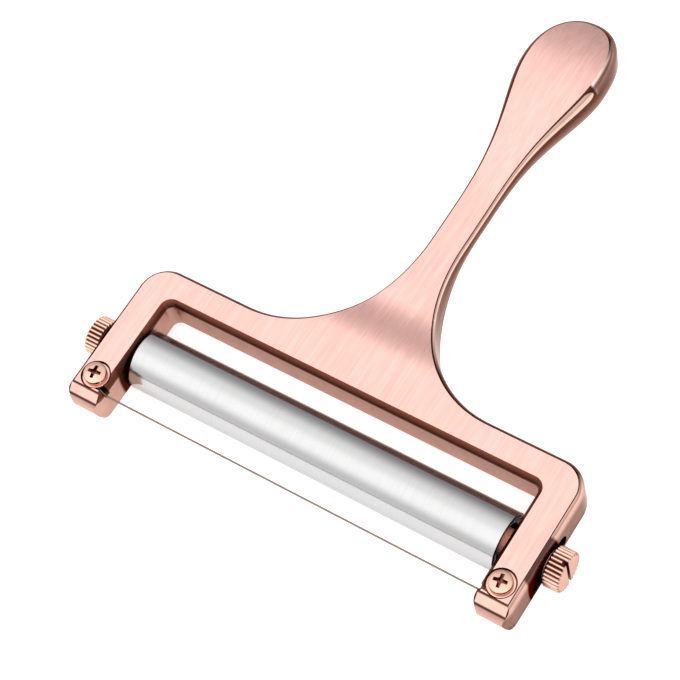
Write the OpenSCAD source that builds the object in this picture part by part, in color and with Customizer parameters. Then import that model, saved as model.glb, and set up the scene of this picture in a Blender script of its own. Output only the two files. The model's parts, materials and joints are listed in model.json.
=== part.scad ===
// Wire cheese slicer. A cast frame, one piece with its handle, carries a roller on a
// sliding axle and a steel wire stretched between the tips of its two arms.
// X runs along the roller, Y towards the end of the handle, and Z up. The origin is the
// centre of the slicer's outer size in X and Y, level with the lowest line of the roller.

/* [Frame] */
// Width of the flat front of each arm
arm_w = 8; // [7.6:0.1:10]
// Distance from the crossbar's inner edge to the arm tips
arm_reach = 37.2; // [37.1:0.1:50]
// Width of the flat front of the crossbar
bar_w = 6.7; // [5:0.1:10]
// Thickness of the arms and the crossbar
frame_t = 12.4; // [11.6:0.1:14]
// Height of the frame's front above the axis of the roller
front_rise = 7.5; // [6.8:0.1:8.2]
// Radius of the two outer corners, seen from the front
corner_r = 7; // [5:0.5:9]
// Radius of the two inner corners, seen from the front
fillet_r = 3.5; // [2.5:0.5:5]
// Radius of the corners at the arm tips, seen from the front
tip_corner_r = 3.7; // [1.2:0.1:3.7]
// Radius that rounds the long edges of the arms and the crossbar
edge_r = 2.6; // [1.5:0.1:3]
// Angle at which that rounding leaves the flat front, which makes a crisp line
edge_angle = 28; // [15:1:45]

/* [Handle] */
// Length of the handle, from the crossbar's outer edge to its end
handle_l = 121.4; // [100:1:150]
// Width of the flat front at the neck
neck_w = 8.5; // [7:0.1:12]
// Thickness at the neck
neck_t = 5.2; // [5:0.1:8]
// Width of the flat front at the widest place of the bulb
bulb_w = 21.4; // [16:0.2:28]
// Thickness at the bulb
bulb_t = 10.8; // [8:0.2:14]
// Width of the sweep that spreads the neck into the crossbar, on each side
sweep_w = 34; // [25:1:40]
// Depth of the neck's front below the front of the crossbar
neck_dip = 1.2; // [0:0.1:2]
// Height of the bulb's front above the front of the crossbar
bulb_rise = 2.1; // [0:0.1:4]
// Fall of the front from the bulb to the end of the handle
end_drop = 2.6; // [0:0.1:4]
// Radius that rounds the long edges of the handle at its neck
grip_edge_r = 1.6; // [1:0.1:2.2]
// Radius that rounds them at the bulb
bulb_edge_r = 3.8; // [2:0.1:4.2]

/* [Roller] */
// Outer diameter of the roller
roller_d = 16.8; // [16:0.2:18]
// Length of the roller
roller_l = 115; // [90:1:145]
// Gap between each end of the roller and the front edge of the arm
end_gap = 2.5; // [2.2:0.1:4]
// Wall thickness of the roller's tube
tube_wall = 1.2; // [0.8:0.1:1.6]
// Distance from the arm tips to the roller's axis, halfway along its slots
roller_inset = 20.6; // [20.4:0.1:22]
// Length of each end cap inside the tube
cap_l = 9; // [7:0.5:12]
// Depth of the round recess in each end cap
cap_recess = 3.4; // [3:0.1:4.5]
// Width of the rim round that recess
cap_rim = 1.7; // [1.2:0.1:2.2]
// Depth of each end cap below the end of the tube
cap_inset = 0.5; // [0.2:0.1:1]
// Diameter of the axle rod
axle_d = 6; // [5.6:0.1:7]

/* [Adjusting slots and thumb screws] */
// Length of the slot through each arm, along which the axle slides
slot_l = 16.6; // [13:0.2:17]
// Width of that slot
slot_w = 5.2; // [4.6:0.1:5.6]
// Diameter of the thumb screw's shank
shank_d = 4; // [3.4:0.1:4]
// Length of the shank inside the axle rod
shank_grip = 8; // [5:0.5:12]
// Diameter of the knurled head
knurl_d = 11.4; // [10:0.2:13]
// Length of the knurled head
knurl_l = 4.7; // [4:0.1:7]
// Number of ridges round the knurled head
knurl_ridges = 28; // [20:1:36]
// Depth of the grooves between the ridges
knurl_depth = 0.6; // [0.2:0.05:0.6]
// Length of the smooth land at each end of the knurled head
knurl_land = 0.35; // [0.2:0.05:0.8]
// Diameter of the smooth collar between the head and its washer
collar_d = 8.4; // [7:0.2:9]
// Length of that collar
collar_l = 0.3; // [0.3:0.1:1.5]
// Width of the coin slot across the head
coin_slot_w = 1.1; // [0.8:0.1:1.6]
// Depth of the coin slot across the head
coin_slot_depth = 1.3; // [0.8:0.1:2]
// Outer diameter of the washer under the thumb screw
washer_d = 9; // [8:0.2:9.4]
// Thickness of the washer under the thumb screw
washer_t = 0.4; // [0.4:0.1:1]
// Outer diameter of the bush between the axle rod and the arm
bush_d = 7.6; // [7:0.2:8.4]

/* [Cutting wire and its screws] */
// Diameter of the cutting wire
wire_d = 0.55; // [0.4:0.05:0.6]
// Distance from the arm tips to the cutting wire
wire_inset = 4.65; // [4.6:0.05:4.7]
// Depth of the wire below the front of the arms
wire_depth = 2.5; // [2.2:0.1:2.6]
// Width of the slit that guides the wire through each arm
slit_w = 1.9; // [1.8:0.1:2]
// Depth of that slit
slit_depth = 3.2; // [3:0.1:3.6]
// Distance from the arm tips to the screws that hold the wire
screw_inset = 7.95; // [7.9:0.05:8]
// Distance from the middle of the arm to those screws, towards the roller
screw_offset = 0.4; // [0:0.1:0.6]
// Diameter of the round seat sunk round each screw
seat_d = 8.4; // [8.2:0.1:8.8]
// Depth of that seat
seat_depth = 1.6; // [1.4:0.1:1.8]
// Diameter of the screw's shank
screw_d = 3.5; // [3:0.1:3.6]
// Length of the screw below the bottom of its seat
screw_l = 8; // [5:0.5:9]
// Diameter of the screw's head
head_d = 6.4; // [6:0.2:7.4]
// Height of the screw's head
head_h = 2.3; // [1.8:0.1:2.8]
// Radius of the dome on the screw's head
head_dome_r = 9; // [7:0.5:14]
// Length of each arm of the cross in the screw's head, tip to tip
cross_l = 4.5; // [3:0.1:4.8]
// Width of each arm of the cross
cross_w = 1.1; // [0.6:0.1:1.2]
// Depth of the cross
cross_depth = 1.3; // [0.8:0.1:1.5]
// Outer diameter of the washer that clamps the wire
clamp_d = 7.6; // [7:0.2:8]
// Thickness of the washer that clamps the wire
clamp_t = 0.5; // [0.3:0.1:0.6]

/* [Fits] */
// Clearance on each side of a shaft in its bore
bore_gap = 0.05; // [0.02:0.01:0.1]
// Clearance between faces that slide along each other
face_gap = 0.1; // [0.05:0.05:0.2]

/* [Hidden] */

ROSE_GOLD = "#e0a693";
POLISHED_ROSE = "#c98a74";
STEEL = "#d2d4d6";
BLACK = "#1b1b1c";

LEFT = -1;
RIGHT = 1;

// Steps along one rounded edge, a small corner and the curves of the handle
edge_steps = 5;
corner_steps = 9;
sweep_steps = 22;
grip_steps = 26;
end_steps = 16;
round_fn = 64;

// Where along the handle its widths and thicknesses are reached, in shares of its length
sweep_share = 0.354;
neck_share = 0.44;
bulb_share = 0.862;
dip_start_share = 0.04;
dip_end_share = 0.166;
thin_start_share = 0.11;
thin_end_share = 0.4;
// Radius of the tips' rounding in side view, in shares of the frame's thickness
tip_round_share = 0.556;
// Powers of the rounded curves: 2 is an ellipse, and more is squarer
sweep_power = 2.12;
end_power = 2.25;
// How late the neck widens and thickens into the bulb: 1 is even, and more is later
widen_lag = 1.6;
thicken_lag = 1.3;

arm_in = roller_l / 2 + end_gap;
arm_out = arm_in + arm_w;
// How far the rounded sides stand out past the flat front, on the frame and at the bulb
side_out = edge_r * (1 - sin(edge_angle));
bulb_side_out = bulb_edge_r * (1 - sin(edge_angle));
face_in = arm_in - side_out;
face_out = arm_out + side_out;

// The crossbar's inner edge lies so that the outer size is centred on the origin
bar_y = (arm_reach - bar_w - handle_l - bulb_side_out) / 2;
bar_back_y = bar_y + bar_w;
tip_y = bar_y - arm_reach;
end_y = bar_back_y + handle_l;
sweep_y = bar_back_y + sweep_share * handle_l;
neck_y = bar_back_y + neck_share * handle_l;
bulb_y = bar_back_y + bulb_share * handle_l;
dip_start_y = bar_back_y + dip_start_share * handle_l;
dip_end_y = bar_back_y + dip_end_share * handle_l;
thin_start_y = bar_back_y + thin_start_share * handle_l;
thin_end_y = bar_back_y + thin_end_share * handle_l;

// Height of the roller's axis, and of the front and the middle of the frame's thickness
mid_z = roller_d / 2;
front_z = mid_z + front_rise;
frame_z = front_z - frame_t / 2;

roller_y = tip_y + roller_inset;
screw_x = arm_in + arm_w / 2 - screw_offset;
screw_y = tip_y + screw_inset;
wire_y = tip_y + wire_inset;
wire_z = front_z - wire_depth;
seat_z = front_z - seat_depth;
clamp_z = seat_z + wire_d + 2 * bore_gap;
loop_r = screw_d / 2 + bore_gap + wire_d / 2;
loop_z = seat_z + bore_gap + wire_d / 2;
loop_y = screw_y - loop_r;
slit_y = (wire_y + loop_y) / 2;
loop_turn = 295;
loop_steps = 14;
wire_sides = 8;
// Turn of each coin slot round the roller's axis, from lying along Y
coin_turn_left = 18;
coin_turn_right = 88;
// The flat on each rounded tip, as angles from straight up at the tip's round end
facet_middle = 42;
facet_half = 12.7;

axle_half = roller_l / 2 - cap_inset - cap_recess + face_gap;
bush_x = axle_half;
bush_l = face_in - face_gap - bush_x;
washer_x = face_out + face_gap;
collar_x = washer_x + washer_t;
knurl_x = collar_x + collar_l;
shank_x = axle_half - shank_grip;
tube_bore_d = roller_d - 2 * tube_wall;
cap_recess_d = tube_bore_d - 2 * cap_rim;

function mix(a, b, t) = a + (b - a) * t;
function clamp01(t) = min(1, max(0, t));
function ease(t) = let (u = clamp01(t)) u * u * (3 - 2 * u);
function ramp(y, from, to) = ease((y - from) / (to - from));
function late(y, from, to, lag) = ease(pow(clamp01((y - from) / (to - from)), lag));

// Height of the front face, thickness and edge radius at a place along the frame
function front_at(y) = front_z - neck_dip * ramp(y, dip_start_y, dip_end_y)
    + (neck_dip + bulb_rise) * ramp(y, neck_y, bulb_y)
    - end_drop * pow(clamp01((y - bulb_y) / (end_y - bulb_y)), 2);
function thick_at(y) = mix(frame_t, neck_t, ramp(y, thin_start_y, thin_end_y))
    + (bulb_t - neck_t) * late(y, neck_y, bulb_y, thicken_lag);
function edge_at(y) = mix(edge_r, grip_edge_r, ramp(y, bar_back_y, dip_end_y))
    + (bulb_edge_r - grip_edge_r) * late(y, neck_y, bulb_y, widen_lag);
function half_width_at(y) = mix(neck_w, bulb_w, late(y, neck_y, bulb_y, widen_lag)) / 2;

// Points on an arc about a centre, from one angle to another
function arc(centre, r, from, to, steps) =
    [for (i = [0 : steps]) let (a = mix(from, to, i / steps)) centre + r * [cos(a), sin(a)]];

// Right half of the front edge line, from the inner corner round to the handle's end
sweep_line = [for (i = [0 : sweep_steps]) let (a = 90 - 90 * i / sweep_steps)
    [neck_w / 2 + sweep_w * (1 - pow(cos(a), 2 / sweep_power)),
     bar_back_y + (sweep_y - bar_back_y) * (1 - pow(sin(a), 2 / sweep_power))]];
grip_line = [for (i = [1 : grip_steps - 1]) let (y = mix(sweep_y, bulb_y, i / grip_steps))
    [half_width_at(y), y]];
end_line = [for (i = [0 : end_steps]) let (a = 90 * i / end_steps)
    [i == end_steps ? 0 : bulb_w / 2 * pow(cos(a), 2 / end_power),
     bulb_y + (end_y - bulb_y) * pow(sin(a), 2 / end_power)]];
arm_line = concat(
    arc([arm_in - fillet_r, bar_y - fillet_r], fillet_r, 90, 0, corner_steps),
    arc([arm_in + tip_corner_r, tip_y + tip_corner_r], tip_corner_r, 180, 270, edge_steps),
    arc([arm_out - tip_corner_r, tip_y + tip_corner_r], tip_corner_r, 270, 360, edge_steps),
    arc([arm_out - corner_r, bar_back_y - corner_r], corner_r, 0, 90, corner_steps));
half_line = concat(arm_line, sweep_line, grip_line, end_line);

half_n = len(half_line);
line_n = 2 * half_n - 1;
// Last point of the arm's line, where the outer corner ends, and the one that is first on
// the sweep
arm_last = len(arm_line) - 1;
sweep_first = arm_last + 1;

function mirrored(i) = 2 * half_n - 2 - i;
front_line = [for (i = [0 : line_n - 1])
    i < half_n ? half_line[i] : [-half_line[mirrored(i)].x, half_line[mirrored(i)].y]];

// Step out of the line at a point, square to both its neighbours
function square_to(a, b) = let (d = b - a) [d.y, -d.x] / norm(d);
function step_out(i) =
    let (here = front_line[i],
         n1 = square_to(front_line[(i + line_n - 1) % line_n], here),
         n2 = square_to(here, front_line[(i + 1) % line_n]))
    (n1 + n2) / (1 + n1 * n2);

// One edge's rounding as [step out, depth] from the flat front to the side
function edge_profile(r) = [for (j = [0 : edge_steps])
    let (a = mix(edge_angle, 90, j / edge_steps))
    [r * (sin(a) - sin(edge_angle)), r * (cos(edge_angle) - cos(a))]];

levels = 2 * (edge_steps + 1);
function skin_column(i) =
    let (p = front_line[i], n = step_out(i), z = front_at(p.y), t = thick_at(p.y),
         profile = edge_profile(edge_at(p.y)))
    [for (j = [0 : levels - 1])
        let (back = j > edge_steps, e = profile[back ? levels - 1 - j : j])
        [p.x + n.x * e[0], p.y + n.y * e[0], z - (back ? t - e[1] : e[1])]];

function at(i, j) = (i % line_n) * levels + j;
function reversed(list) = [for (i = [len(list) - 1 : -1 : 0]) list[i]];

// Faces of the front (j = 0) or back (j = levels - 1), listed as seen from the front.
// Strips run along each arm, across the crossbar, and from side to side up the handle.
function strip(a, b, c, d) = [[a, b, c], [a, c, d]];
function arm_faces(j) = [for (i = [0 : (arm_last - 1) / 2 - 1]) let (k = arm_last - i) each concat(
    strip(at(i, j), at(i + 1, j), at(k - 1, j), at(k, j)),
    strip(at(mirrored(k), j), at(mirrored(k - 1), j), at(mirrored(i + 1), j), at(mirrored(i), j)))];
function bar_faces(j) = concat(
    [[at(0, j), at(arm_last, j), at(sweep_first, j)]],
    strip(at(0, j), at(sweep_first, j), at(mirrored(sweep_first), j), at(mirrored(0), j)),
    [[at(mirrored(0), j), at(mirrored(sweep_first), j), at(mirrored(arm_last), j)]]);
function handle_faces(j) = concat(
    [for (i = [sweep_first : half_n - 3])
        each strip(at(i, j), at(i + 1, j), at(mirrored(i + 1), j), at(mirrored(i), j))],
    [[at(half_n - 2, j), at(half_n - 1, j), at(mirrored(half_n - 2), j)]]);
function flat_faces(j) = concat(arm_faces(j), bar_faces(j), handle_faces(j));
side_faces = [for (i = [0 : line_n - 1]) for (j = [0 : levels - 2]) each [
    [at(i, j), at(i + 1, j), at(i + 1, j + 1)],
    [at(i, j), at(i + 1, j + 1), at(i, j + 1)]]];

// The frame and handle before anything is cut into them
module casting_skin() {
    polyhedron(
        points = [for (i = [0 : line_n - 1]) each skin_column(i)],
        faces = concat([for (f = flat_faces(0)) reversed(f)], flat_faces(levels - 1), side_faces),
        convexity = 8);
}

// A round bar along X, from one place to another
module bar_x(d, from, to) {
    translate([from, 0, 0]) rotate([0, 90, 0]) cylinder(d = d, h = to - from, $fn = round_fn);
}

// Everything outside the round end that the arm tips have in side view
module tip_waste() {
    round_r = tip_round_share * frame_t;
    round_y = tip_y + round_r;
    reach = frame_t;
    difference() {
        translate([-face_out - reach, round_y - reach, frame_z - reach])
            cube([2 * (face_out + reach), reach, 2 * reach]);
        translate([0, round_y, frame_z])
            bar_x(2 * round_r, -face_out - 2 * reach, face_out + 2 * reach);
    }
    translate([0, round_y, frame_z]) rotate([facet_middle, 0, 0])
        translate([-face_out - reach, -reach, round_r * cos(facet_half)])
            cube([2 * (face_out + reach), 2 * reach, reach]);
}

// Slot through one arm, along which the axle's thumb screw slides
module slot_waste(side) {
    straight = slot_l - slot_w;
    width = 2 * side_out + arm_w;
    translate([side * (face_in + width / 2), roller_y, mid_z]) {
        cube([2 * width, straight, slot_w], center = true);
        for (end = [-1, 1])
            translate([0, end * straight / 2, 0]) bar_x(slot_w, -width, width);
    }
}

// Seat and threaded hole at one arm's tip, with the slit that leads the wire to them from
// the arm's inner side
module wire_seat_waste(side) {
    translate([side * screw_x, screw_y, seat_z])
        cylinder(d = seat_d, h = 2 * seat_depth, $fn = round_fn);
    translate([side * screw_x, screw_y, seat_z - screw_l - face_gap])
        cylinder(d = screw_d + 2 * bore_gap, h = screw_l + seat_depth, $fn = round_fn);
    translate([side * (screw_x - arm_w), slit_y, front_z])
        cube([2 * arm_w, slit_w, 2 * slit_depth], center = true);
}

module frame_casting() {
    color(ROSE_GOLD) difference() {
        casting_skin();
        tip_waste();
        for (side = [LEFT, RIGHT]) {
            slot_waste(side);
            wire_seat_waste(side);
        }
    }
}

module roller_tube() {
    color(STEEL) translate([0, roller_y, mid_z]) difference() {
        bar_x(roller_d, -roller_l / 2, roller_l / 2);
        bar_x(tube_bore_d, -roller_l, roller_l);
    }
}

module roller_cap(side) {
    outer_x = roller_l / 2 - cap_inset;
    color(BLACK) translate([0, roller_y, mid_z]) mirror([side == LEFT ? 1 : 0, 0, 0])
        difference() {
            bar_x(tube_bore_d, outer_x - cap_l, outer_x);
            bar_x(cap_recess_d, outer_x - cap_recess, roller_l);
            bar_x(axle_d + 2 * bore_gap, 0, roller_l);
        }
}

module axle_rod() {
    color(STEEL) translate([0, roller_y, mid_z]) difference() {
        bar_x(axle_d, -axle_half, axle_half);
        for (side = [LEFT, RIGHT]) mirror([side == LEFT ? 1 : 0, 0, 0])
            bar_x(shank_d + 2 * bore_gap, shank_x - face_gap, roller_l);
    }
}

module axle_bush(side) {
    color(POLISHED_ROSE) translate([0, roller_y, mid_z]) mirror([side == LEFT ? 1 : 0, 0, 0])
        difference() {
            bar_x(bush_d, bush_x, bush_x + bush_l);
            bar_x(shank_d + 2 * bore_gap, 0, roller_l);
        }
}

// Outline of the knurled head across its axis
module knurl_outline() {
    crest_r = knurl_d / 2;
    root_r = crest_r - knurl_depth;
    polygon([for (i = [0 : 2 * knurl_ridges - 1]) let (a = 180 * i / knurl_ridges)
        (i % 2 == 0 ? crest_r : root_r) * [cos(a), sin(a)]]);
}

module thumb_screw(side) {
    color(POLISHED_ROSE) translate([0, roller_y, mid_z]) mirror([side == LEFT ? 1 : 0, 0, 0])
        difference() {
            union() {
                translate([knurl_x + knurl_land, 0, 0]) rotate([0, 90, 0])
                    linear_extrude(knurl_l - 2 * knurl_land) knurl_outline();
                bar_x(knurl_d - 3 * knurl_depth, knurl_x, knurl_x + knurl_l);
                bar_x(collar_d, collar_x, knurl_x + knurl_land);
                bar_x(shank_d, shank_x, knurl_x);
            }
            translate([knurl_x + knurl_l, 0, 0])
                rotate([side == LEFT ? coin_turn_left : coin_turn_right, 0, 0])
                    cube([2 * coin_slot_depth, 2 * knurl_d, coin_slot_w], center = true);
        }
}

module thumb_washer(side) {
    color(POLISHED_ROSE) translate([0, roller_y, mid_z]) mirror([side == LEFT ? 1 : 0, 0, 0])
        difference() {
            bar_x(washer_d, washer_x, washer_x + washer_t);
            bar_x(shank_d + 2 * bore_gap, 0, 2 * washer_x);
        }
}

module wire_screw(side) {
    head_z = clamp_z + clamp_t;
    color(POLISHED_ROSE) translate([side * screw_x, screw_y, 0]) {
        translate([0, 0, seat_z - screw_l])
            cylinder(d = screw_d, h = head_z - seat_z + screw_l + bore_gap, $fn = round_fn);
        difference() {
            intersection() {
                translate([0, 0, head_z]) cylinder(d = head_d, h = head_h, $fn = round_fn);
                translate([0, 0, head_z + head_h - head_dome_r])
                    sphere(r = head_dome_r, $fn = round_fn);
            }
            for (a = [8, 98]) rotate([0, 0, a]) translate([0, 0, head_z + head_h])
                cube([cross_l, cross_w, 2 * cross_depth], center = true);
        }
    }
}

module wire_washer(side) {
    color(POLISHED_ROSE) translate([side * screw_x, screw_y, clamp_z]) difference() {
        cylinder(d = clamp_d, h = clamp_t, $fn = round_fn);
        translate([0, 0, -clamp_t])
            cylinder(d = screw_d + 2 * bore_gap, h = 3 * clamp_t, $fn = round_fn);
    }
}

// Right half of the wire's route: along the cutting span, up through the slit, and in a
// loop round the screw
wire_half = concat([[face_in, wire_y, wire_z]],
    [for (i = [0 : loop_steps]) let (a = loop_turn * i / loop_steps - 90)
        [screw_x + loop_r * cos(a), screw_y + loop_r * sin(a), loop_z]]);
wire_route = concat([for (p = reversed(wire_half)) [-p.x, p.y, p.z]], wire_half);

function unit(v) = v / norm(v);
function wire_ring(i) =
    let (last = len(wire_route) - 1,
         along = unit(wire_route[min(i + 1, last)] - wire_route[max(i - 1, 0)]),
         across = unit(cross(along, [0, 0, 1])),
         up = cross(across, along))
    [for (k = [0 : wire_sides - 1]) let (a = 360 * k / wire_sides)
        wire_route[i] + wire_d / 2 * (across * cos(a) + up * sin(a))];

// One continuous wire, with its ring of points at each place of its route
module cutting_wire() {
    rings = len(wire_route);
    around = [for (k = [0 : wire_sides - 1]) k];
    color(STEEL) polyhedron(
        points = [for (i = [0 : rings - 1]) each wire_ring(i)],
        faces = concat([reversed(around)], [[for (k = around) (rings - 1) * wire_sides + k]],
            [for (i = [0 : rings - 2]) for (k = around)
                let (a = i * wire_sides + k, b = i * wire_sides + (k + 1) % wire_sides)
                each [[a, b, b + wire_sides], [a, b + wire_sides, a + wire_sides]]]),
        convexity = 4);
}

frame_casting();
roller_tube();
roller_cap(LEFT);  // roller_cap_left
roller_cap(RIGHT);  // roller_cap_right
axle_rod();
axle_bush(LEFT);  // axle_bush_left
axle_bush(RIGHT);  // axle_bush_right
thumb_screw(LEFT);  // thumb_screw_left
thumb_screw(RIGHT);  // thumb_screw_right
thumb_washer(LEFT);  // thumb_washer_left
thumb_washer(RIGHT);  // thumb_washer_right
wire_screw(LEFT);  // wire_screw_left
wire_screw(RIGHT);  // wire_screw_right
wire_washer(LEFT);  // wire_washer_left
wire_washer(RIGHT);  // wire_washer_right
cutting_wire();
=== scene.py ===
"""A wire cheese slicer: a rose copper frame and handle, a steel roller and a cutting wire."""

import json
import logging
import math
from dataclasses import dataclass, field
from enum import Enum, IntEnum

import bmesh
import bpy
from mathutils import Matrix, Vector


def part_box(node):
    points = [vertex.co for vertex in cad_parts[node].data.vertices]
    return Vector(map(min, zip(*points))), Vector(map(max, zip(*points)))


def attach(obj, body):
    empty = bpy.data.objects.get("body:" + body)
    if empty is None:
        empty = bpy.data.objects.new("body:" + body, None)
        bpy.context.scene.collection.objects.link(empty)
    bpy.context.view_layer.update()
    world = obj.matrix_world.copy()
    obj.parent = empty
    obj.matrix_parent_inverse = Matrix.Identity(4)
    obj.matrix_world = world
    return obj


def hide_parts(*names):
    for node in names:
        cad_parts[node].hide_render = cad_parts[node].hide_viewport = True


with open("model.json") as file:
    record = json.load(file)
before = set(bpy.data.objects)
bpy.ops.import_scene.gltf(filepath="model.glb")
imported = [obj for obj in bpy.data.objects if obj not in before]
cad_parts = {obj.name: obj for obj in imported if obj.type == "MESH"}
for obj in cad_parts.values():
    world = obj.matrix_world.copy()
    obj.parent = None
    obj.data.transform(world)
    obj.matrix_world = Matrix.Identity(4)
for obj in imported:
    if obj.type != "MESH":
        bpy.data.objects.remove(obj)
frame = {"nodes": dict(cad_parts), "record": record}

LOG = logging.getLogger("cheese_slicer")
MM = 0.001

Point = tuple[float, float, float]
Flat = tuple[float, float]
Stops = list[tuple[float, Point]]


def joint_place(name: str) -> Point:
    """A joint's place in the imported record, in millimetres."""
    joint = next(j for j in frame["record"]["behaviour"]["joints"] if j["name"] == name)
    return tuple(c / MM for c in joint["pos_m"])


def node_low(name: str) -> Point:
    """The lowest corner of a CAD node's box, in millimetres."""
    return tuple(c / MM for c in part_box(name)[0])


# The roller's axis, the arm tips, the play beside an arm and the arm's outer face
AXLE = joint_place("roller_spin")
TIP_Y = node_low("frame_casting")[1]
PLAY = 0.1
FACE_OUT = node_low("thumb_washer_right")[0] - PLAY
# Where the painted highlight band on the handle's edge ends, along Y
BAND_END = 61.2


class Side(Enum):
    """Which end of the roller a piece stands at."""

    LEFT = -1
    RIGHT = 1

    @property
    def word(self) -> str:
        """The side's name as the CAD nodes spell it."""
        return self.name.lower()


class Axis(Enum):
    """The axis that a turned piece is made round."""

    X = "x"
    Z = "z"


class Zone(IntEnum):
    """The casting's zones, in the order of its material numbers."""

    FLAT = 0
    SIDE = 1
    TIP = 2
    FACET = 3
    CUT = 4


class ScrewZone(IntEnum):
    """A screw's zones, in the order of its material numbers."""

    HEAD = 0
    CUT = 1
    RIDGES = 2
    STEM = 3


@dataclass(frozen=True)
class WirePost:
    """Where a wire screw stands in the right arm, and how the wire passes it."""

    x: float = 63.6
    y: float = TIP_Y + 7.95
    wire_y: float = TIP_Y + 4.65
    loop_r: float = 2.075


POST = WirePost()


def clamp01(t: float) -> float:
    """The number held between 0 and 1."""
    return min(1.0, max(0.0, t))


def mix(a: float, b: float, t: float) -> float:
    """The value a share t of the way from a to b."""
    return a + (b - a) * t


def ease(t: float) -> float:
    """A smooth step from 0 to 1."""
    u = clamp01(t)
    return u * u * (3 - 2 * u)


def scaled(colour: Point, share: float) -> Point:
    """A colour times a share."""
    return tuple(share * c for c in colour)


# Mesh making


def piece_from(name: str, points: list[Point], faces: list[list[int]]) -> bpy.types.Object:
    """Makes an object from points in millimetres.

    Args:
        name: the piece's name.
        points: the places of its vertices, in millimetres.
        faces: the vertex numbers round each face.

    Returns:
        The new object, linked to the scene.
    """
    mesh = bpy.data.meshes.new(name)
    mesh.from_pydata([tuple(c * MM for c in p) for p in points], [], faces)
    mesh.validate()
    made = bpy.data.objects.new(name, mesh)
    bpy.context.scene.collection.objects.link(made)
    return made


def face_outwards(piece: bpy.types.Object, merge: float = 1e-6) -> None:
    """Joins doubled vertices and turns every face of a closed shell outwards.

    Args:
        piece: the object to tidy.
        merge: the distance under which vertices join, in metres.
    """
    work = bmesh.new()
    work.from_mesh(piece.data)
    bmesh.ops.remove_doubles(work, verts=work.verts, dist=merge)
    bmesh.ops.recalc_face_normals(work, faces=work.faces)
    work.to_mesh(piece.data)
    work.free()


def turned(name: str, profile: list[Flat], place: Point, axis: Axis = Axis.X, sign: int = 1,
           steps: int = 96) -> bpy.types.Object:
    """Turns a closed profile round an axis, as a lathe does.

    Args:
        name: the piece's name.
        profile: (distance along the axis, radius) in millimetres, going round the section.
        place: the axis's starting point, in millimetres.
        axis: the axis to turn round.
        sign: 1 or -1, the way in which the profile runs along the axis.
        steps: the number of steps round.

    Returns:
        The closed turned piece.
    """
    points: list[Point] = []
    for along, radius in profile:
        for k in range(steps):
            a = 2 * math.pi * k / steps
            across, up = radius * math.cos(a), radius * math.sin(a)
            if axis is Axis.X:
                points.append((place[0] + sign * along, place[1] + across, place[2] + up))
            else:
                points.append((place[0] + across, place[1] + up, place[2] + sign * along))
    rings = len(profile)
    faces = []
    for i in range(rings):
        j = (i + 1) % rings
        # Between two points on the axis there is no face
        if profile[i][1] == 0 and profile[j][1] == 0:
            continue
        for k in range(steps):
            m = (k + 1) % steps
            faces.append([i * steps + k, i * steps + m, j * steps + m, j * steps + k])
    made = piece_from(name, points, faces)
    face_outwards(made, 1e-7)
    return made


def rounded_profile(corners: list[Flat], radii: list[float], steps: int) -> list[Flat]:
    """Rounds the corners of a profile with short arcs.

    Args:
        corners: the profile's corners, in order.
        radii: the rounding at each corner; 0 keeps it sharp.
        steps: steps in each arc.

    Returns:
        The rounded profile.
    """
    out: list[Flat] = []
    count = len(corners)
    for i, (corner, radius) in enumerate(zip(corners, radii)):
        if radius == 0:
            out.append(corner)
            continue
        here = Vector(corner)
        back = (Vector(corners[i - 1]) - here).normalized()
        ahead = (Vector(corners[(i + 1) % count]) - here).normalized()
        for s in range(steps + 1):
            t = s / steps
            p = here + back * radius * (1 - t) ** 2 + ahead * radius * t ** 2
            out.append((p.x, p.y))
    return out


def ring_corners(start: float, stop: float, inner: float, outer: float) -> list[Flat]:
    """The four corners of a plain ring's section."""
    return [(start, inner), (start, outer), (stop, outer), (stop, inner)]


def block_between(name: str, first: list[Point], last: list[Point]) -> bpy.types.Object:
    """A closed block between two outlines with the same number of points.

    Args:
        name: the object's name.
        first: one outline, in millimetres.
        last: the other one, point for point.

    Returns:
        The closed block.
    """
    n = len(first)
    faces = [[i, (i + 1) % n, n + (i + 1) % n, n + i] for i in range(n)]
    faces += [list(range(n))[::-1], list(range(n, 2 * n))]
    made = piece_from(name, first + last, faces)
    face_outwards(made)
    return made


def prism_x(name: str, outline: list[Flat], ends: tuple[float, float]) -> bpy.types.Object:
    """A prism along X from an outline in Y and Z, between two places in either order."""
    first, last = ([(x, y, z) for y, z in outline] for x in sorted(ends))
    return block_between(name, first, last)


def settle(piece: bpy.types.Object) -> None:
    """Turns a piece with modifiers into its plain final mesh.

    Args:
        piece: the piece, whose modifiers go.
    """
    graph = bpy.context.evaluated_depsgraph_get()
    graph.update()
    final = bpy.data.meshes.new_from_object(piece.evaluated_get(graph), preserve_all_data_layers=True,
                                            depsgraph=graph)
    piece.modifiers.clear()
    old, piece.data = piece.data, final
    bpy.data.meshes.remove(old)
    final.name = piece.name


def carve(piece: bpy.types.Object, cutters: list[bpy.types.Object]) -> None:
    """Cuts the cutters out of the piece, one after the other, and removes them.

    Args:
        piece: the closed piece to cut.
        cutters: closed objects that mark what goes.
    """
    for cutter in cutters:
        cut = piece.modifiers.new("cut", "BOOLEAN")
        cut.operation = "DIFFERENCE"
        cut.solver = "EXACT"
        cut.object = cutter
        settle(piece)
        bpy.data.objects.remove(cutter)


def join(piece: bpy.types.Object, other: bpy.types.Object) -> None:
    """Adds another object's mesh to a piece and removes that object.

    Args:
        piece: the piece that grows.
        other: the object that goes into it; both have the same materials.
    """
    work = bmesh.new()
    work.from_mesh(piece.data)
    work.from_mesh(other.data)
    work.to_mesh(piece.data)
    work.free()
    bpy.data.objects.remove(other)


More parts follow.
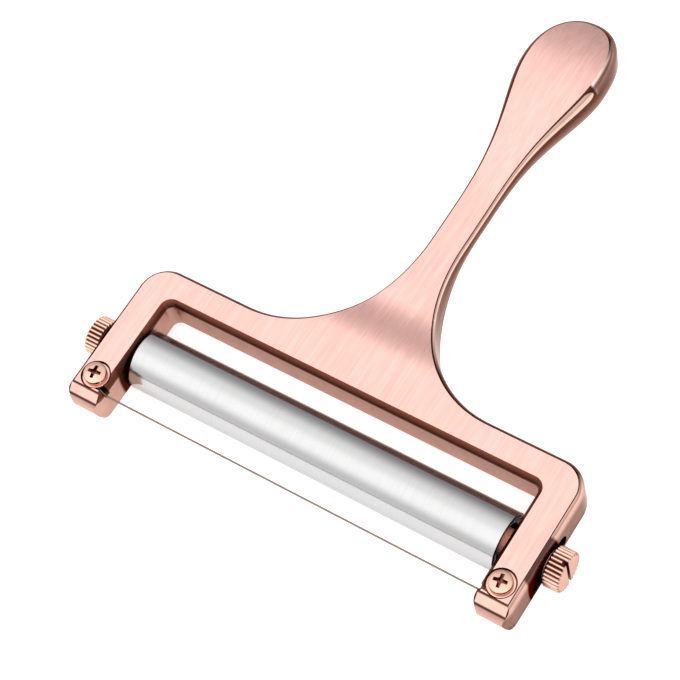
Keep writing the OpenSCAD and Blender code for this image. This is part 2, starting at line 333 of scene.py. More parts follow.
def soften(piece: bpy.types.Object, width: float, angle: float) -> None:
    """Breaks the sharp edges with a narrow rounding.

    Args:
        piece: the piece to soften.
        width: the rounding's width, in millimetres.
        angle: edges sharper than this many degrees are rounded.
    """
    bevel = piece.modifiers.new("edges", "BEVEL")
    bevel.width = width * MM
    bevel.segments = 2
    bevel.limit_method = "ANGLE"
    bevel.angle_limit = math.radians(angle)
    settle(piece)


def shade(piece: bpy.types.Object, angle: float) -> None:
    """Shades the piece smooth but for its creases and the lines where its finish changes.

    Args:
        piece: the piece to shade.
        angle: edges sharper than this many degrees stay crisp.
    """
    piece.data.shade_smooth()
    piece.data.set_sharp_from_angle(angle=math.radians(angle))
    # An edge between two finishes stays crisp
    beside: dict[int, int] = {}
    for face in piece.data.polygons:
        for corner in face.loop_indices:
            edge = piece.data.loops[corner].edge_index
            if beside.setdefault(edge, face.material_index) != face.material_index:
                piece.data.edges[edge].use_edge_sharp = True
    weigh = piece.modifiers.new("normals", "WEIGHTED_NORMAL")
    weigh.keep_sharp = True
    weigh.mode = "FACE_AREA"
    weigh.weight = 50
    settle(piece)


# Dressing


def paint(piece: bpy.types.Object, *finishes: bpy.types.Material) -> None:
    """Gives a piece its finishes, in the order of its zones."""
    for finish in finishes:
        piece.data.materials.append(finish)


def assign(piece: bpy.types.Object, zone: IntEnum) -> None:
    """Puts every face of a piece in one zone."""
    for face in piece.data.polygons:
        face.material_index = zone


def plain(piece: bpy.types.Object, finish: bpy.types.Material, angle: float = 30.0) -> bpy.types.Object:
    """Gives a piece its only finish and shades it.

    Args:
        piece: the piece.
        finish: its finish.
        angle: edges sharper than this many degrees stay crisp.

    Returns:
        The piece.
    """
    paint(piece, finish)
    shade(piece, angle)
    return piece


def dress(piece: bpy.types.Object, body: str, node: str) -> bpy.types.Object:
    """Fixes a finished piece to its body and hides the CAD node that it stands for.

    Args:
        piece: the finished piece.
        body: the CAD body that it moves with.
        node: the CAD node that it replaces.

    Returns:
        The piece.
    """
    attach(piece, body)
    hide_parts(node)
    LOG.info("%s: %d faces, rides on %s", piece.name, len(piece.data.polygons), body)
    return piece


# Finishes


class Finish:
    """A material's node tree, with short ways to add and join its nodes."""

    def __init__(self, name: str) -> None:
        """Starts an empty material with one shader in it.

        Args:
            name: the material's name.
        """
        self.material = bpy.data.materials.new(name)
        self.material.use_nodes = True
        self.tree = self.material.node_tree
        self.tree.nodes.clear()
        self.shader = self.node("ShaderNodeBsdfPrincipled")
        output = self.node("ShaderNodeOutputMaterial")
        self.join(self.shader.outputs["BSDF"], output.inputs["Surface"])

    def node(self, kind: str, **options: str) -> bpy.types.Node:
        """Adds a node and sets its options.

        Args:
            kind: Blender's name for the kind of node.
            options: the node's options by name.

        Returns:
            The node.
        """
        made = self.tree.nodes.new(kind)
        for name, value in options.items():
            setattr(made, name, value)
        return made

    def join(self, source: bpy.types.NodeSocket, target: bpy.types.NodeSocket) -> None:
        """Links one socket to another."""
        self.tree.links.new(source, target)

    def set(self, **values: object) -> None:
        """Sets numbers and colours on the shader's own sockets, by name with _ for a space."""
        for name, value in values.items():
            self.shader.inputs[name.replace("_", " ")].default_value = value

    def feed(self, **sources: bpy.types.NodeSocket) -> None:
        """Links sockets to the shader's inputs, by name with _ for a space."""
        for name, source in sources.items():
            self.join(source, self.shader.inputs[name.replace("_", " ")])

    def place(self) -> bpy.types.NodeSocket:
        """The piece's own coordinates, in metres."""
        return self.node("ShaderNodeTexCoord").outputs["Object"]

    def attribute(self, name: str) -> bpy.types.NodeSocket:
        """A number kept on the piece's mesh."""
        return self.node("ShaderNodeAttribute", attribute_name=name).outputs["Fac"]

    def along_y(self) -> bpy.types.NodeSocket:
        """The place along the handle.

        Returns:
            The place, in metres.
        """
        split = self.node("ShaderNodeSeparateXYZ")
        self.join(self.place(), split.inputs[0])
        return split.outputs["Y"]

    def vector(self, operation: str, source: bpy.types.NodeSocket, result: str) -> bpy.types.NodeSocket:
        """A sum on one vector.

        Args:
            operation: Blender's name for the sum.
            source: the vector.
            result: the output that holds the result.

        Returns:
            The result.
        """
        made = self.node("ShaderNodeVectorMath", operation=operation)
        self.join(source, made.inputs[0])
        return made.outputs[result]

    def mapped(self, source: bpy.types.NodeSocket, scale: Point,
               shift: Point = (0.0, 0.0, 0.0)) -> bpy.types.NodeSocket:
        """Coordinates times a scale and then shifted.

        Args:
            source: the coordinates.
            scale: the scale of each axis.
            shift: the shift of each axis.

        Returns:
            The new coordinates.
        """
        made = self.node("ShaderNodeMapping")
        made.inputs["Scale"].default_value = scale
        made.inputs["Location"].default_value = shift
        self.join(source, made.inputs["Vector"])
        return made.outputs["Vector"]

    def noise(self, stretch: Point, detail: float, rough: float = 0.55) -> bpy.types.NodeSocket:
        """Noise over the piece's own coordinates.

        Args:
            stretch: the noise's grains to the metre, along each axis.
            detail: the number of finer layers.
            rough: how much the finer layers count.

        Returns:
            The noise, from 0 to 1.
        """
        made = self.node("ShaderNodeTexNoise")
        for name, value in (("Scale", 1.0), ("Detail", detail), ("Roughness", rough)):
            made.inputs[name].default_value = value
        self.join(self.mapped(self.place(), stretch), made.inputs["Vector"])
        return made.outputs["Fac"]

    def ranged(self, value: bpy.types.NodeSocket, low: float, high: float, to_low: float = 0.0,
               to_high: float = 1.0, smooth: bool = False) -> bpy.types.NodeSocket:
        """Maps a value from one range to another, held at its ends.

        Args:
            value: the value.
            low: the first range's start.
            high: its end.
            to_low: the second range's start.
            to_high: its end.
            smooth: whether the step between them is smooth.

        Returns:
            The mapped value.
        """
        made = self.node("ShaderNodeMapRange", interpolation_type="SMOOTHSTEP" if smooth else "LINEAR")
        for name, number in zip(("From Min", "From Max", "To Min", "To Max"), (low, high, to_low, to_high)):
            made.inputs[name].default_value = number
        self.join(value, made.inputs["Value"])
        return made.outputs["Result"]

    def around(self, noise: bpy.types.NodeSocket, middle: float, less: float,
               more: float) -> bpy.types.NodeSocket:
        """A value that a noise varies.

        Args:
            noise: the noise.
            middle: the value without it.
            less: how far it goes below.
            more: how far it goes above.

        Returns:
            The varied value.
        """
        return self.ranged(noise, 0.3, 0.7, middle - less, middle + more)

    def ramp(self, value: bpy.types.NodeSocket, stops: Stops) -> bpy.types.NodeSocket:
        """Colours a value.

        Args:
            value: the value, from 0 to 1.
            stops: (place, linear colour) pairs, in order.

        Returns:
            The colour.
        """
        made = self.node("ShaderNodeValToRGB")
        band = made.color_ramp
        band.elements[0].position, band.elements[0].color = stops[0][0], (*stops[0][1], 1)
        band.elements[1].position, band.elements[1].color = stops[-1][0], (*stops[-1][1], 1)
        for place, colour in stops[1:-1]:
            band.elements.new(place).color = (*colour, 1)
        self.join(value, made.inputs["Fac"])
        return made.outputs["Color"]

    def blend(self, share: bpy.types.NodeSocket, a: object, b: object) -> bpy.types.NodeSocket:
        """Mixes two colours, each a socket or a linear colour.

        Args:
            share: how much of b is in the mix.
            a: the first colour.
            b: the second colour.

        Returns:
            The mixed colour.
        """
        made = self.node("ShaderNodeMix", data_type="RGBA")
        self.join(share, made.inputs[0])
        for value, socket in ((a, made.inputs[6]), (b, made.inputs[7])):
            if isinstance(value, bpy.types.NodeSocket):
                self.join(value, socket)
            else:
                socket.default_value = (*value, 1)
        return made.outputs[2]

    def away(self, centre: Point, reach: Point, mirrored: bool = False) -> bpy.types.NodeSocket:
        """Distance from a centre, where each axis counts 1 at its own reach.

        Args:
            centre: the centre, in millimetres.
            reach: each axis's reach in millimetres, or 0 for an axis that doesn't count.
            mirrored: whether the left side counts like the right one.

        Returns:
            The distance, in shares of the reach.
        """
        size = [1 / (r * MM) if r else 0.0 for r in reach]
        source = self.place()
        if mirrored:
            source = self.vector("ABSOLUTE", source, "Vector")
        near = self.mapped(source, size, [-c * MM * s for c, s in zip(centre, size)])
        return self.vector("LENGTH", near, "Value")

    def bump(self, height: bpy.types.NodeSocket, strength: float, distance: float) -> None:
        """Bumps the surface, over any bump before it.

        Args:
            height: the height, from 0 to 1.
            strength: the bump's strength.
            distance: how far a height of 1 stands out, in millimetres.
        """
        made = self.node("ShaderNodeBump")
        if self.shader.inputs["Normal"].is_linked:
            self.join(self.shader.inputs["Normal"].links[0].from_socket, made.inputs["Normal"])
        made.inputs["Strength"].default_value = strength
        made.inputs["Distance"].default_value = distance * MM
        self.join(height, made.inputs["Height"])
        self.feed(Normal=made.outputs["Normal"])


@dataclass(frozen=True)
class BrushedRose:
    """Satin rose copper, brushed along the handle."""

    light: Point = (0.97, 0.60, 0.54)
    dark: Point = (0.70, 0.40, 0.345)
    worn: Point = (0.84, 0.49, 0.425)
    fine_grain: Point = (2300.0, 75.0, 2300.0)
    broad_grain: Point = (620.0, 22.0, 620.0)
    patches: Point = (45.0, 30.0, 45.0)
    swells: tuple[Point, ...] = ((-33.5, -18.0, 2.0), (58.0, 88.0, 1.3))
    roughness: float = 0.36
    spread: float = 0.75
    grain_depth: float = 0.012

    def material(self) -> bpy.types.Material:
        """Builds the finish: fine and coarse streaks along Y, soft patches and the handle's two swells.

        Returns:
            The material.
        """
        look = Finish("brushed_rose")
        fine = look.noise(self.fine_grain, 4.0, 0.6)
        broad = look.noise(self.broad_grain, 3.0)
        patch = look.noise(self.patches, 2.0)
        streak = look.blend(look.ranged(broad, 0.3, 0.7, 0.1, 0.5), self.light, self.dark)
        streak = look.blend(look.ranged(fine, 0.35, 0.75, 0.0, 0.6), streak, self.dark)
        tint = look.blend(look.ranged(patch, 0.35, 0.7, 0.0, 0.2), streak, self.worn)
        across = look.node("ShaderNodeTangent", direction_type="RADIAL", axis="Y")
        look.feed(Base_Color=tint, Roughness=look.around(fine, self.roughness, 0.06, 0.08),
                  Tangent=across.outputs["Tangent"])
        look.set(Metallic=1.0, Anisotropic=self.spread)
        for start, stop, drop in self.swells:
            look.bump(look.ranged(look.along_y(), start * MM, stop * MM, 1.0, 0.0, smooth=True), 1.0, drop)
        look.bump(fine, 0.35, self.grain_depth)
        return look.material


@dataclass(frozen=True)
class PolishedRose:
    """Mirror-bright rose copper with a faint polishing haze."""

    name: str = "small_parts_rose"
    colour: Point = (0.74, 0.45, 0.36)
    deep: Point = (0.07, 0.022, 0.014)
    edge: Point = (0.78, 0.66, 0.62)
    roughness: float = 0.17
    metal: float = 1.0
    patches: Point = (260.0, 260.0, 260.0)
    hairlines: Point = (900.0, 900.0, 4200.0)

    def toned(self, look: Finish) -> object:
        """The colour before the haze, as a socket or a linear colour."""
        return self.colour

    def hazed(self, look: Finish, hair: bpy.types.NodeSocket) -> bpy.types.NodeSocket:
        """The roughness, which the hairlines vary."""
        return look.around(hair, self.roughness, 0.03, 0.06)

    def shadowed(self, look: Finish) -> None:
        """Paints shade into the gloss's tint where a finish needs it; here nowhere."""

    def material(self) -> bpy.types.Material:
        """Builds the finish: its tones, a polishing haze over them and fine hairlines.

        Returns:
            The material.
        """
        look = Finish(self.name)
        haze = look.ranged(look.noise(self.patches, 3.0), 0.35, 0.75, 0.0, 0.16)
        hair = look.noise(self.hairlines, 2.0)
        look.feed(Base_Color=look.blend(haze, self.toned(look), self.deep),
                  Roughness=self.hazed(look, hair))
        look.set(Metallic=self.metal, Specular_Tint=(*self.edge, 1.0))
        self.shadowed(look)
        return look.material


@dataclass(frozen=True)
class SideRose(PolishedRose):
    """The casting's polished sides, with painted reflections and painted shade: dark lines where an edge
    turns, a painted highlight band on the handle, and painted shade down the sides, round the roller and
    beside the axle's slots.
    """

    name: str = "polished_side_rose"
    roughness: float = 0.13
    satin: float = 0.34
    # Tones of the sides' painted reflections and painted shade
    bright: Point = (0.98, 0.72, 0.62)
    clear: Point = (0.80, 0.52, 0.43)
    warm: Point = (0.64, 0.39, 0.325)
    middle: Point = (0.54, 0.32, 0.265)
    half: Point = (0.34, 0.195, 0.155)
    low: Point = (0.23, 0.12, 0.096)
    dim: Point = (0.14, 0.068, 0.05)
    # The gloss's tint under the painted shade beside the slots
    slot_shade_tint: Point = (0.16, 0.10, 0.085)
    # The painted highlight band on the handle: its tone, its end and its width across the turn
    lane_light: float = 0.88
    lane_end: float = 3.0
    lane_roll: tuple[float, float] = (-0.24, 1.16)
    # The painted shade on the bay's turned edges, as a multiple of the deep tone
    bay_light: float = 2.1
    # The painted shade beside the axle's slots: where it falls, and how dark it is on the edge, on the side
    # and in the bay
    slot_reach: Point = (0.0, 8.0, 16.0)
    slot_centre: Point = (0.0, AXLE[1] - 2.6, AXLE[2])
    slot_shade_edge: float = 0.9
    slot_shade_side: float = 0.75
    slot_shade_bay: float = 0.95

    def toned(self, look: Finish) -> bpy.types.NodeSocket:
        """Painted reflections and painted shade, by how far an edge has turned, down the side, in the bay
        and round the axle's slots.

        Args:
            look: the finish that the nodes go into.

        Returns:
            The colour.
        """
        roll = look.attribute("roll")
        outer = look.blend(look.ranged(roll, 0.94, 1.02), self.turning(look, roll), self.upright(look))
        bay = look.blend(look.ranged(roll, 0.9, 1.04), scaled(self.deep, self.bay_light), self.middle)
        colour = look.blend(look.attribute("bay"), outer, bay)
        return look.blend(self.slot_shade(look), colour, self.deep)

    def turning(self, look: Finish, roll: bpy.types.NodeSocket) -> bpy.types.NodeSocket:
        """The painted reflections of the turning edges: everywhere, on the band and on the bulb, with
        painted shade on the outer rim.

        Args:
            look: the finish that the nodes go into.
            roll: how far the edge has turned.

        Returns:
            The colour.
        """
        lit = scaled(self.clear, self.lane_light)
        edge = look.ramp(roll, [(0.0, self.deep), (0.05, self.deep), (0.1, self.clear), (0.3, self.warm),
                                (1.0, self.middle)])
        band = look.ramp(self.lane(look), [(0.0, lit), (0.45, lit), (0.51, self.deep), (1.0, self.deep)])
        bulb = look.ramp(roll, [(0.0, self.bright), (0.1, self.bright), (0.17, self.half), (0.4, self.low),
                                (0.8, self.dim), (1.0, self.dim)])
        rim = look.ramp(roll, [(0.0, self.deep), (0.3, self.deep), (0.7, self.dim), (1.0, self.low)])
        for name, tones in (("band", band), ("bulb", bulb), ("rim", rim)):
            edge = look.blend(look.attribute(name), edge, tones)
        return edge

    def upright(self, look: Finish) -> bpy.types.NodeSocket:
        """The painted reflections and painted shade of the upright sides from front to back, on the frame
        and on the handle.

        Args:
            look: the finish that the nodes go into.

        Returns:
            The colour.
        """
        back = look.attribute("back")
        side = look.ramp(back, [(0.1, self.middle), (0.3, self.low), (0.66, self.low), (0.76, self.dim),
                                (0.82, self.deep), (1.0, self.deep)])
        grip = look.ramp(back, [(0.25, self.deep), (0.4, self.deep), (0.52, self.dim), (0.66, self.low),
                                (0.74, self.half), (0.79, self.low), (0.83, self.deep), (1.0, self.deep)])
        return look.blend(look.attribute("grip"), side, grip)

    def lane(self, look: Finish) -> bpy.types.NodeSocket:
        """The handle's painted highlight band: 0 along its middle, 0.5 at its border and at its round end.

        Args:
            look: the finish that the nodes go into.

        Returns:
            The distance from the band's middle line.
        """
        ends = (BAND_END - self.lane_end) * MM, (BAND_END + self.lane_end) * MM
        place = look.node("ShaderNodeCombineXYZ")
        look.join(look.ranged(look.attribute("roll"), *self.lane_roll, -1.0, 1.0), place.inputs["X"])
        look.join(look.ranged(look.along_y(), *ends), place.inputs["Y"])
        return look.vector("LENGTH", place.outputs["Vector"], "Value")

    def slot_shade(self, look: Finish) -> bpy.types.NodeSocket:
        """How much painted shade darkens the side beside an axle's slot.

        Args:
            look: the finish that the nodes go into.

        Returns:
            The share of the dark, as a grey.
        """
        near = look.ranged(look.away(self.slot_centre, self.slot_reach), 0.91, 1.0, 1.0, 0.0)
        edge, side, bay = ((share,) * 3 for share in (self.slot_shade_edge, self.slot_shade_side, self.slot_shade_bay))
        share = look.blend(look.ranged(look.attribute("roll"), 0.85, 1.0), edge, side)
        return look.blend(near, (0, 0, 0), look.blend(look.attribute("bay"), share, bay))

    def shadowed(self, look: Finish) -> None:
        """Paints shade into the gloss's tint beside the axle's slots."""
        look.feed(Specular_Tint=look.blend(self.slot_shade(look), self.edge, self.slot_shade_tint))

    def hazed(self, look: Finish, hair: bpy.types.NodeSocket) -> bpy.types.NodeSocket:
        """Polished outside, and satin on the sides round the roller.

        Args:
            look: the finish that the nodes go into.
            hair: the hairlines.

        Returns:
            The roughness.
        """
        outer = super().hazed(look, hair)
        satin = look.around(hair, self.satin, 0.04, 0.08)
        made = look.node("ShaderNodeMix")
        for source, target in ((look.attribute("bay"), 0), (outer, 2), (satin, 3)):
            look.join(source, made.inputs[target])
        return made.outputs[0]


@dataclass(frozen=True)
class NoseRose(PolishedRose):
    """The arm tips, with a painted highlight on the flat between two painted dark lines where it turns."""

    name: str = "polished_nose_rose"
    roughness: float = 0.16
    bright: Point = (0.96, 0.64, 0.54)
    middle: Point = (0.42, 0.25, 0.205)
    # The painted dark lines along the tips' sides: the arm's middle and how far from it they start
    middle_x: float = 64.0
    border: tuple[float, float] = (4.35, 4.6)

    def toned(self, look: Finish) -> bpy.types.NodeSocket:
        """Painted reflections by the angle round the tip, from 0 at the front to 1 at the back, with
        painted dark lines at its two borders.

        Args:
            look: the finish that the nodes go into.

        Returns:
            The colour.
        """
        turn = look.ramp(look.attribute("nose"), [
            (0.0, self.deep), (0.165, self.deep), (0.185, self.bright), (0.295, self.bright),
            (0.31, self.deep), (0.335, self.deep), (0.355, self.middle), (0.7, self.bright),
            (1.0, self.middle)])
        across = look.away((self.middle_x, 0, 0), (1, 0, 0), mirrored=True)
        return look.blend(look.ranged(across, *self.border), turn, self.deep)


@dataclass(frozen=True)
class RidgeRose(PolishedRose):
    """The knurled heads' ridges, with painted shade down in their grooves."""

    name: str = "ridged_rose"
    colour: Point = (0.82, 0.54, 0.44)
    floor_r: float = 5.15
    top_r: float = 5.6
    # The painted shade on the groove floors, as a multiple of the deep tone
    floor_light: float = 1.5

    def toned(self, look: Finish) -> bpy.types.NodeSocket:
        """Painted shade in the grooves, by the distance from the screw's axis."""
        high = look.ranged(look.away(AXLE, (0, 1, 1)), self.floor_r, self.top_r)
        return look.blend(high, scaled(self.deep, self.floor_light), self.colour)


@dataclass(frozen=True)
class BrightSteel:
    """Polished steel, with the faint rings that turning leaves."""

    name: str = "bright_steel"
    colour: Point = (0.505, 0.50, 0.50)
    edge: Point = (0.8, 0.8, 0.8)
    roughness: float = 0.16
    rings: Point = (1500.0, 14.0, 14.0)
    patches: Point = (40.0, 90.0, 90.0)
    patch_light: float = 0.88
    ring_light: float = 0.8

    def material(self) -> bpy.types.Material:
        """Builds the finish: fine rings round X and a slight haze.

        Returns:
            The material.
        """
        look = Finish(self.name)
        ring = look.noise(self.rings, 3.0)
        haze = look.ranged(look.noise(self.patches, 2.0), 0.3, 0.7, 0.0, 0.25)
        tone = look.blend(haze, self.colour, scaled(self.colour, self.patch_light))
        tone = look.blend(look.ranged(ring, 0.4, 0.8, 0.0, 0.18), tone,
                          scaled(self.colour, self.ring_light))
        look.feed(Base_Color=tone, Roughness=look.around(ring, self.roughness, 0.04, 0.05))
        look.set(Metallic=1.0, Specular_Tint=(*self.edge, 1.0))
        return look.material


@dataclass(frozen=True)
class BlackPlastic:
    """Moulded black plastic with a fine grain."""

    colour: Point = (0.012, 0.012, 0.013)
    sheen: Point = (0.022, 0.021, 0.021)
    grains: Point = (3200.0, 3200.0, 3200.0)
    patches: Point = (180.0, 180.0, 180.0)
    grain_depth: float = 0.02
    roughness: float = 0.34

    def material(self) -> bpy.types.Material:
        """Builds the finish: a fine moulded grain and slight sheen changes.

        Returns:
            The material.
        """
        look = Finish("black_plastic")
        grain = look.noise(self.grains, 3.0)
        patch = look.ranged(look.noise(self.patches, 2.0), 0.35, 0.7)
        look.feed(Base_Color=look.blend(patch, self.colour, self.sheen),
                  Roughness=look.around(grain, self.roughness, 0.06, 0.1))
        look.set(IOR=1.5)
        look.bump(grain, 0.2, self.grain_depth)
        return look.material


class Finishes:
    """The finishes that the pieces share, each built once."""

    def __init__(self) -> None:
        """Builds every finish."""
        self.brushed = BrushedRose().material()
        self.side = SideRose().material()
        self.nose = NoseRose().material()
        self.ridged = RidgeRose().material()
        self.small = PolishedRose().material()
        # The bush's rose, partly its own colour and partly lifted brighter and less metallic than the other
        # small parts as a painted glint
        self.bush = PolishedRose("bush_rose", (0.98, 0.40, 0.28), roughness=0.4, metal=0.3).material()
        # A darkened rose for the thumb screws' washers and collars, a painted shade between the arm and the
        # head
        self.dim = PolishedRose("painted_shade_rose", (0.30, 0.15, 0.11), roughness=0.25).material()
        # Painted shade for the cut surfaces: slots, seats, holes, the wire slit, the coin slots and the
        # drivers' crosses
        self.recess = PolishedRose("shaded_recess_rose", (0.19, 0.08, 0.057), roughness=0.3).material()
        self.steel = BrightSteel().material()
        self.rod = BrightSteel("ground_steel", roughness=0.28).material()
        self.wire = BrightSteel("drawn_wire", (0.24, 0.17, 0.14), roughness=0.25,
                                rings=(300.0, 14.0, 14.0)).material()
        self.plastic = BlackPlastic().material()


# What the sub-assemblies share


@dataclass
class Assembly:
    """A sub-assembly of the slicer, which takes its finishes from the shared ones."""

    finishes: Finishes


class Tree:
    """A Geometry Nodes tree with named inputs, which ends by painting its mesh."""

    def __init__(self, name: str, inputs: dict[str, str]) -> None:
        """Starts the tree.

        Args:
            name: the tree's name.
            inputs: the kind of each input by its name.
        """
        self.tree = bpy.data.node_groups.new(name, "GeometryNodeTree")
        for word, kind in inputs.items():
            self.tree.interface.new_socket(name=word, in_out="INPUT", socket_type="NodeSocket" + kind)
        self.tree.interface.new_socket(name="Geometry", in_out="OUTPUT", socket_type="NodeSocketGeometry")
        self.given = self.tree.nodes.new("NodeGroupInput").outputs

    def feed(self, socket: bpy.types.NodeSocket, value: object) -> None:
        """Links a socket to another one, or sets it to a value.

        Args:
            socket: the socket to feed.
            value: another socket or a plain value.
        """
        if isinstance(value, bpy.types.NodeSocket):
            self.tree.links.new(value, socket)
        else:
            socket.default_value = value

    def node(self, kind: str, **sources: object) -> bpy.types.Node:
        """Adds a node and feeds its inputs.

        Args:
            kind: Blender's name for the kind of node.
            sources: sockets or values by the input's name, with _ for a space.

        Returns:
            The node.
        """
        made = self.tree.nodes.new(kind)
        for name, value in sources.items():
            self.feed(made.inputs[name.replace("_", " ")], value)
        return made

    def end(self, mesh: bpy.types.NodeSocket) -> None:
        """Ends the tree: its instances are made real and take the finish that is given.

        Args:
            mesh: the mesh that the tree has made.
        """
        real = self.node("GeometryNodeRealizeInstances", Geometry=mesh).outputs[0]
        painted = self.node("GeometryNodeSetMaterial", Geometry=real, Material=self.given["Finish"])
        self.node("NodeGroupOutput", Geometry=painted.outputs[0])

    def run(self, piece: bpy.types.Object, values: dict[str, object]) -> None:
        """Runs the tree on a piece and keeps the result as its plain mesh.

        Args:
            piece: the piece that the tree starts from.
            values: the tree's inputs by name.
        """
        modifier = piece.modifiers.new(self.tree.name, "NODES")
        modifier.node_group = self.tree
        for name, value in values.items():
            modifier[self.tree.interface.items_tree[name].identifier] = value
        settle(piece)


# The casting


@dataclass
class Casting(Assembly):
    """The frame and handle, cast in one: two arms, a crossbar and a bent handle."""

    arm_in: float = 60.0
    arm_w: float = 8.0
    arm_reach: float = 37.2
    bar_w: float = 6.7
    frame_t: float = 12.4
    front_rise: float = 7.5
    corner_r: float = 7.0
    fillet_r: float = 3.5
    tip_corner_r: float = 3.7
    edge_r: float = 2.6
    edge_angle: float = 28.0
    handle_l: float = 121.4
    neck_w: float = 8.5
    neck_t: float = 5.2
    bulb_w: float = 21.4
    bulb_t: float = 10.8
    sweep_w: float = 34.0
    neck_dip: float = 1.2
    bulb_rise: float = 2.1
    end_drop: float = 2.6
    grip_edge_r: float = 1.6
    bulb_edge_r: float = 3.8
    mid_z: float = AXLE[2]
    tip_y: float = TIP_Y
    slot_l: float = 16.6
    slot_w: float = 5.2
    roller_inset: float = 20.6
    slit_w: float = 1.9
    slit_depth: float = 3.2
    seat_d: float = 8.4
    seat_depth: float = 1.6
    hole_d: float = 3.6
    hole_l: float = 8.1
    overcut: float = 4.0
    sweep_power: float = 2.12
    end_power: float = 2.25
    widen_lag: float = 1.6
    thicken_lag: float = 1.3
    tip_round_share: float = 0.556
    facet_middle: float = 42.0
    facet_half: float = 12.7
    edge_steps: int = 9
    corner_steps: int = 18
    sweep_steps: int = 56
    grip_steps: int = 64
    end_steps: int = 40
    slot_steps: int = 24
    facet_steps: int = 8
    tip_steps: int = 44
    crease: float = 24.0
    # Where the painted highlight band on the handle's edge starts and ends
    band_inset: float = 2.0
    band_over: float = 1.0
    # Which way the outline faces where the rim's painted shade falls
    rim_way: Flat = (-0.7, 0.71)
    rim_start: float = 0.35
    rim_reach: float = 0.5
    flat_limit: float = 0.05
    shares: dict[str, float] = field(default_factory=lambda: {
        "sweep": 0.354, "neck": 0.44, "bulb": 0.862, "dip_start": 0.04, "dip_end": 0.166,
        "thin_start": 0.11, "thin_end": 0.4})

    @property
    def bar_y(self) -> float:
        """The crossbar's inner edge."""
        return self.tip_y + self.arm_reach

    @property
    def back_y(self) -> float:
        """The crossbar's outer edge."""
        return self.bar_y + self.bar_w

    @property
    def end_y(self) -> float:
        """The handle's end."""
        return self.back_y + self.handle_l

    @property
    def front_z(self) -> float:
        """The flat front of the arms."""
        return self.mid_z + self.front_rise

    @property
    def frame_z(self) -> float:
        """The middle of the frame's thickness."""
        return self.front_z - self.frame_t / 2

    @property
    def side_out(self) -> float:
        """How far a rounded side stands out past the flat front."""
        return self.edge_r * (1 - math.sin(math.radians(self.edge_angle)))

    @property
    def levels(self) -> int:
        """The number of points down each side of the skin."""
        return 2 * (self.edge_steps + 1)

    def share_y(self, name: str) -> float:
        """The place along the handle that a named share stands for."""
        return self.back_y + self.shares[name] * self.handle_l

    def ramp(self, y: float, start: str, stop: str) -> float:
        """A smooth step between two named places along the handle."""
        a, b = self.share_y(start), self.share_y(stop)
        return ease((y - a) / (b - a))

    def late(self, y: float, lag: float) -> float:
        """A smooth step from the neck to the bulb that gains late."""
        a, b = self.share_y("neck"), self.share_y("bulb")
        return ease(clamp01((y - a) / (b - a)) ** lag)

    def front_at(self, y: float) -> float:
        """Height of the front: it dips at the neck, rises to the bulb and drops at the end.

        Args:
            y: the place along the frame.

        Returns:
            The height.
        """
        past = clamp01((y - self.share_y("bulb")) / (self.end_y - self.share_y("bulb")))
        return (self.front_z - self.neck_dip * self.ramp(y, "dip_start", "dip_end")
                + (self.neck_dip + self.bulb_rise) * self.ramp(y, "neck", "bulb")
                - self.end_drop * past ** 2)

    def thick_at(self, y: float) -> float:
        """Thickness at a place along the frame."""
        return (mix(self.frame_t, self.neck_t, self.ramp(y, "thin_start", "thin_end"))
                + (self.bulb_t - self.neck_t) * self.late(y, self.thicken_lag))

    def edge_at(self, y: float) -> float:
        """Radius of the long edges' rounding, smaller at the neck and larger at the bulb.

        Args:
            y: the place along the frame.

        Returns:
            The radius.
        """
        a, b = self.back_y, self.share_y("dip_end")
        return (mix(self.edge_r, self.grip_edge_r, ease((y - a) / (b - a)))
                + (self.bulb_edge_r - self.grip_edge_r) * self.late(y, self.widen_lag))

    def half_width_at(self, y: float) -> float:
        """Half the front's width along the grip."""
        return mix(self.neck_w, self.bulb_w, self.late(y, self.widen_lag)) / 2

    @staticmethod
    def arc(middle: Flat, radius: float, start: float, stop: float, steps: int) -> list[Flat]:
        """Points on an arc.

        Args:
            middle: the arc's centre.
            radius: its radius.
            start: its first angle, in degrees.
            stop: its last angle.
            steps: steps between them.

        Returns:
            The points, in order.
        """
        angles = [math.radians(mix(start, stop, i / steps)) for i in range(steps + 1)]
        return [(middle[0] + radius * math.cos(a), middle[1] + radius * math.sin(a)) for a in angles]

    def arm_line(self) -> list[Flat]:
        """The right arm's front edge line, from the inner fillet round to the outer corner.

        Returns:
            The line's points.
        """
        out_x = self.arm_in + self.arm_w
        tip, fillet, corner = self.tip_corner_r, self.fillet_r, self.corner_r
        arcs = [
            ((self.arm_in - fillet, self.bar_y - fillet), fillet, 90, 0, self.corner_steps),
            ((self.arm_in + tip, self.tip_y + tip), tip, 180, 270, self.edge_steps),
            ((out_x - tip, self.tip_y + tip), tip, 270, 360, self.edge_steps),
            ((out_x - corner, self.back_y - corner), corner, 0, 90, self.corner_steps),
        ]
        return [point for arc in arcs for point in self.arc(*arc)]

    def handle_line(self) -> list[Flat]:
        """The right half of the handle's front edge line, from the crossbar to the end.

        Returns:
            The line's points.
        """
        sweep_y, bulb_y = self.share_y("sweep"), self.share_y("bulb")
        line = []
        # The sweep out of the crossbar
        for i in range(self.sweep_steps + 1):
            a = math.radians(90 - 90 * i / self.sweep_steps)
            across = self.sweep_w * (1 - abs(math.cos(a)) ** (2 / self.sweep_power))
            along = (sweep_y - self.back_y) * (1 - math.sin(a) ** (2 / self.sweep_power))
            line.append((self.neck_w / 2 + across, self.back_y + along))
        # The grip, from the neck to the bulb
        for i in range(1, self.grip_steps):
            y = mix(sweep_y, bulb_y, i / self.grip_steps)
            line.append((self.half_width_at(y), y))
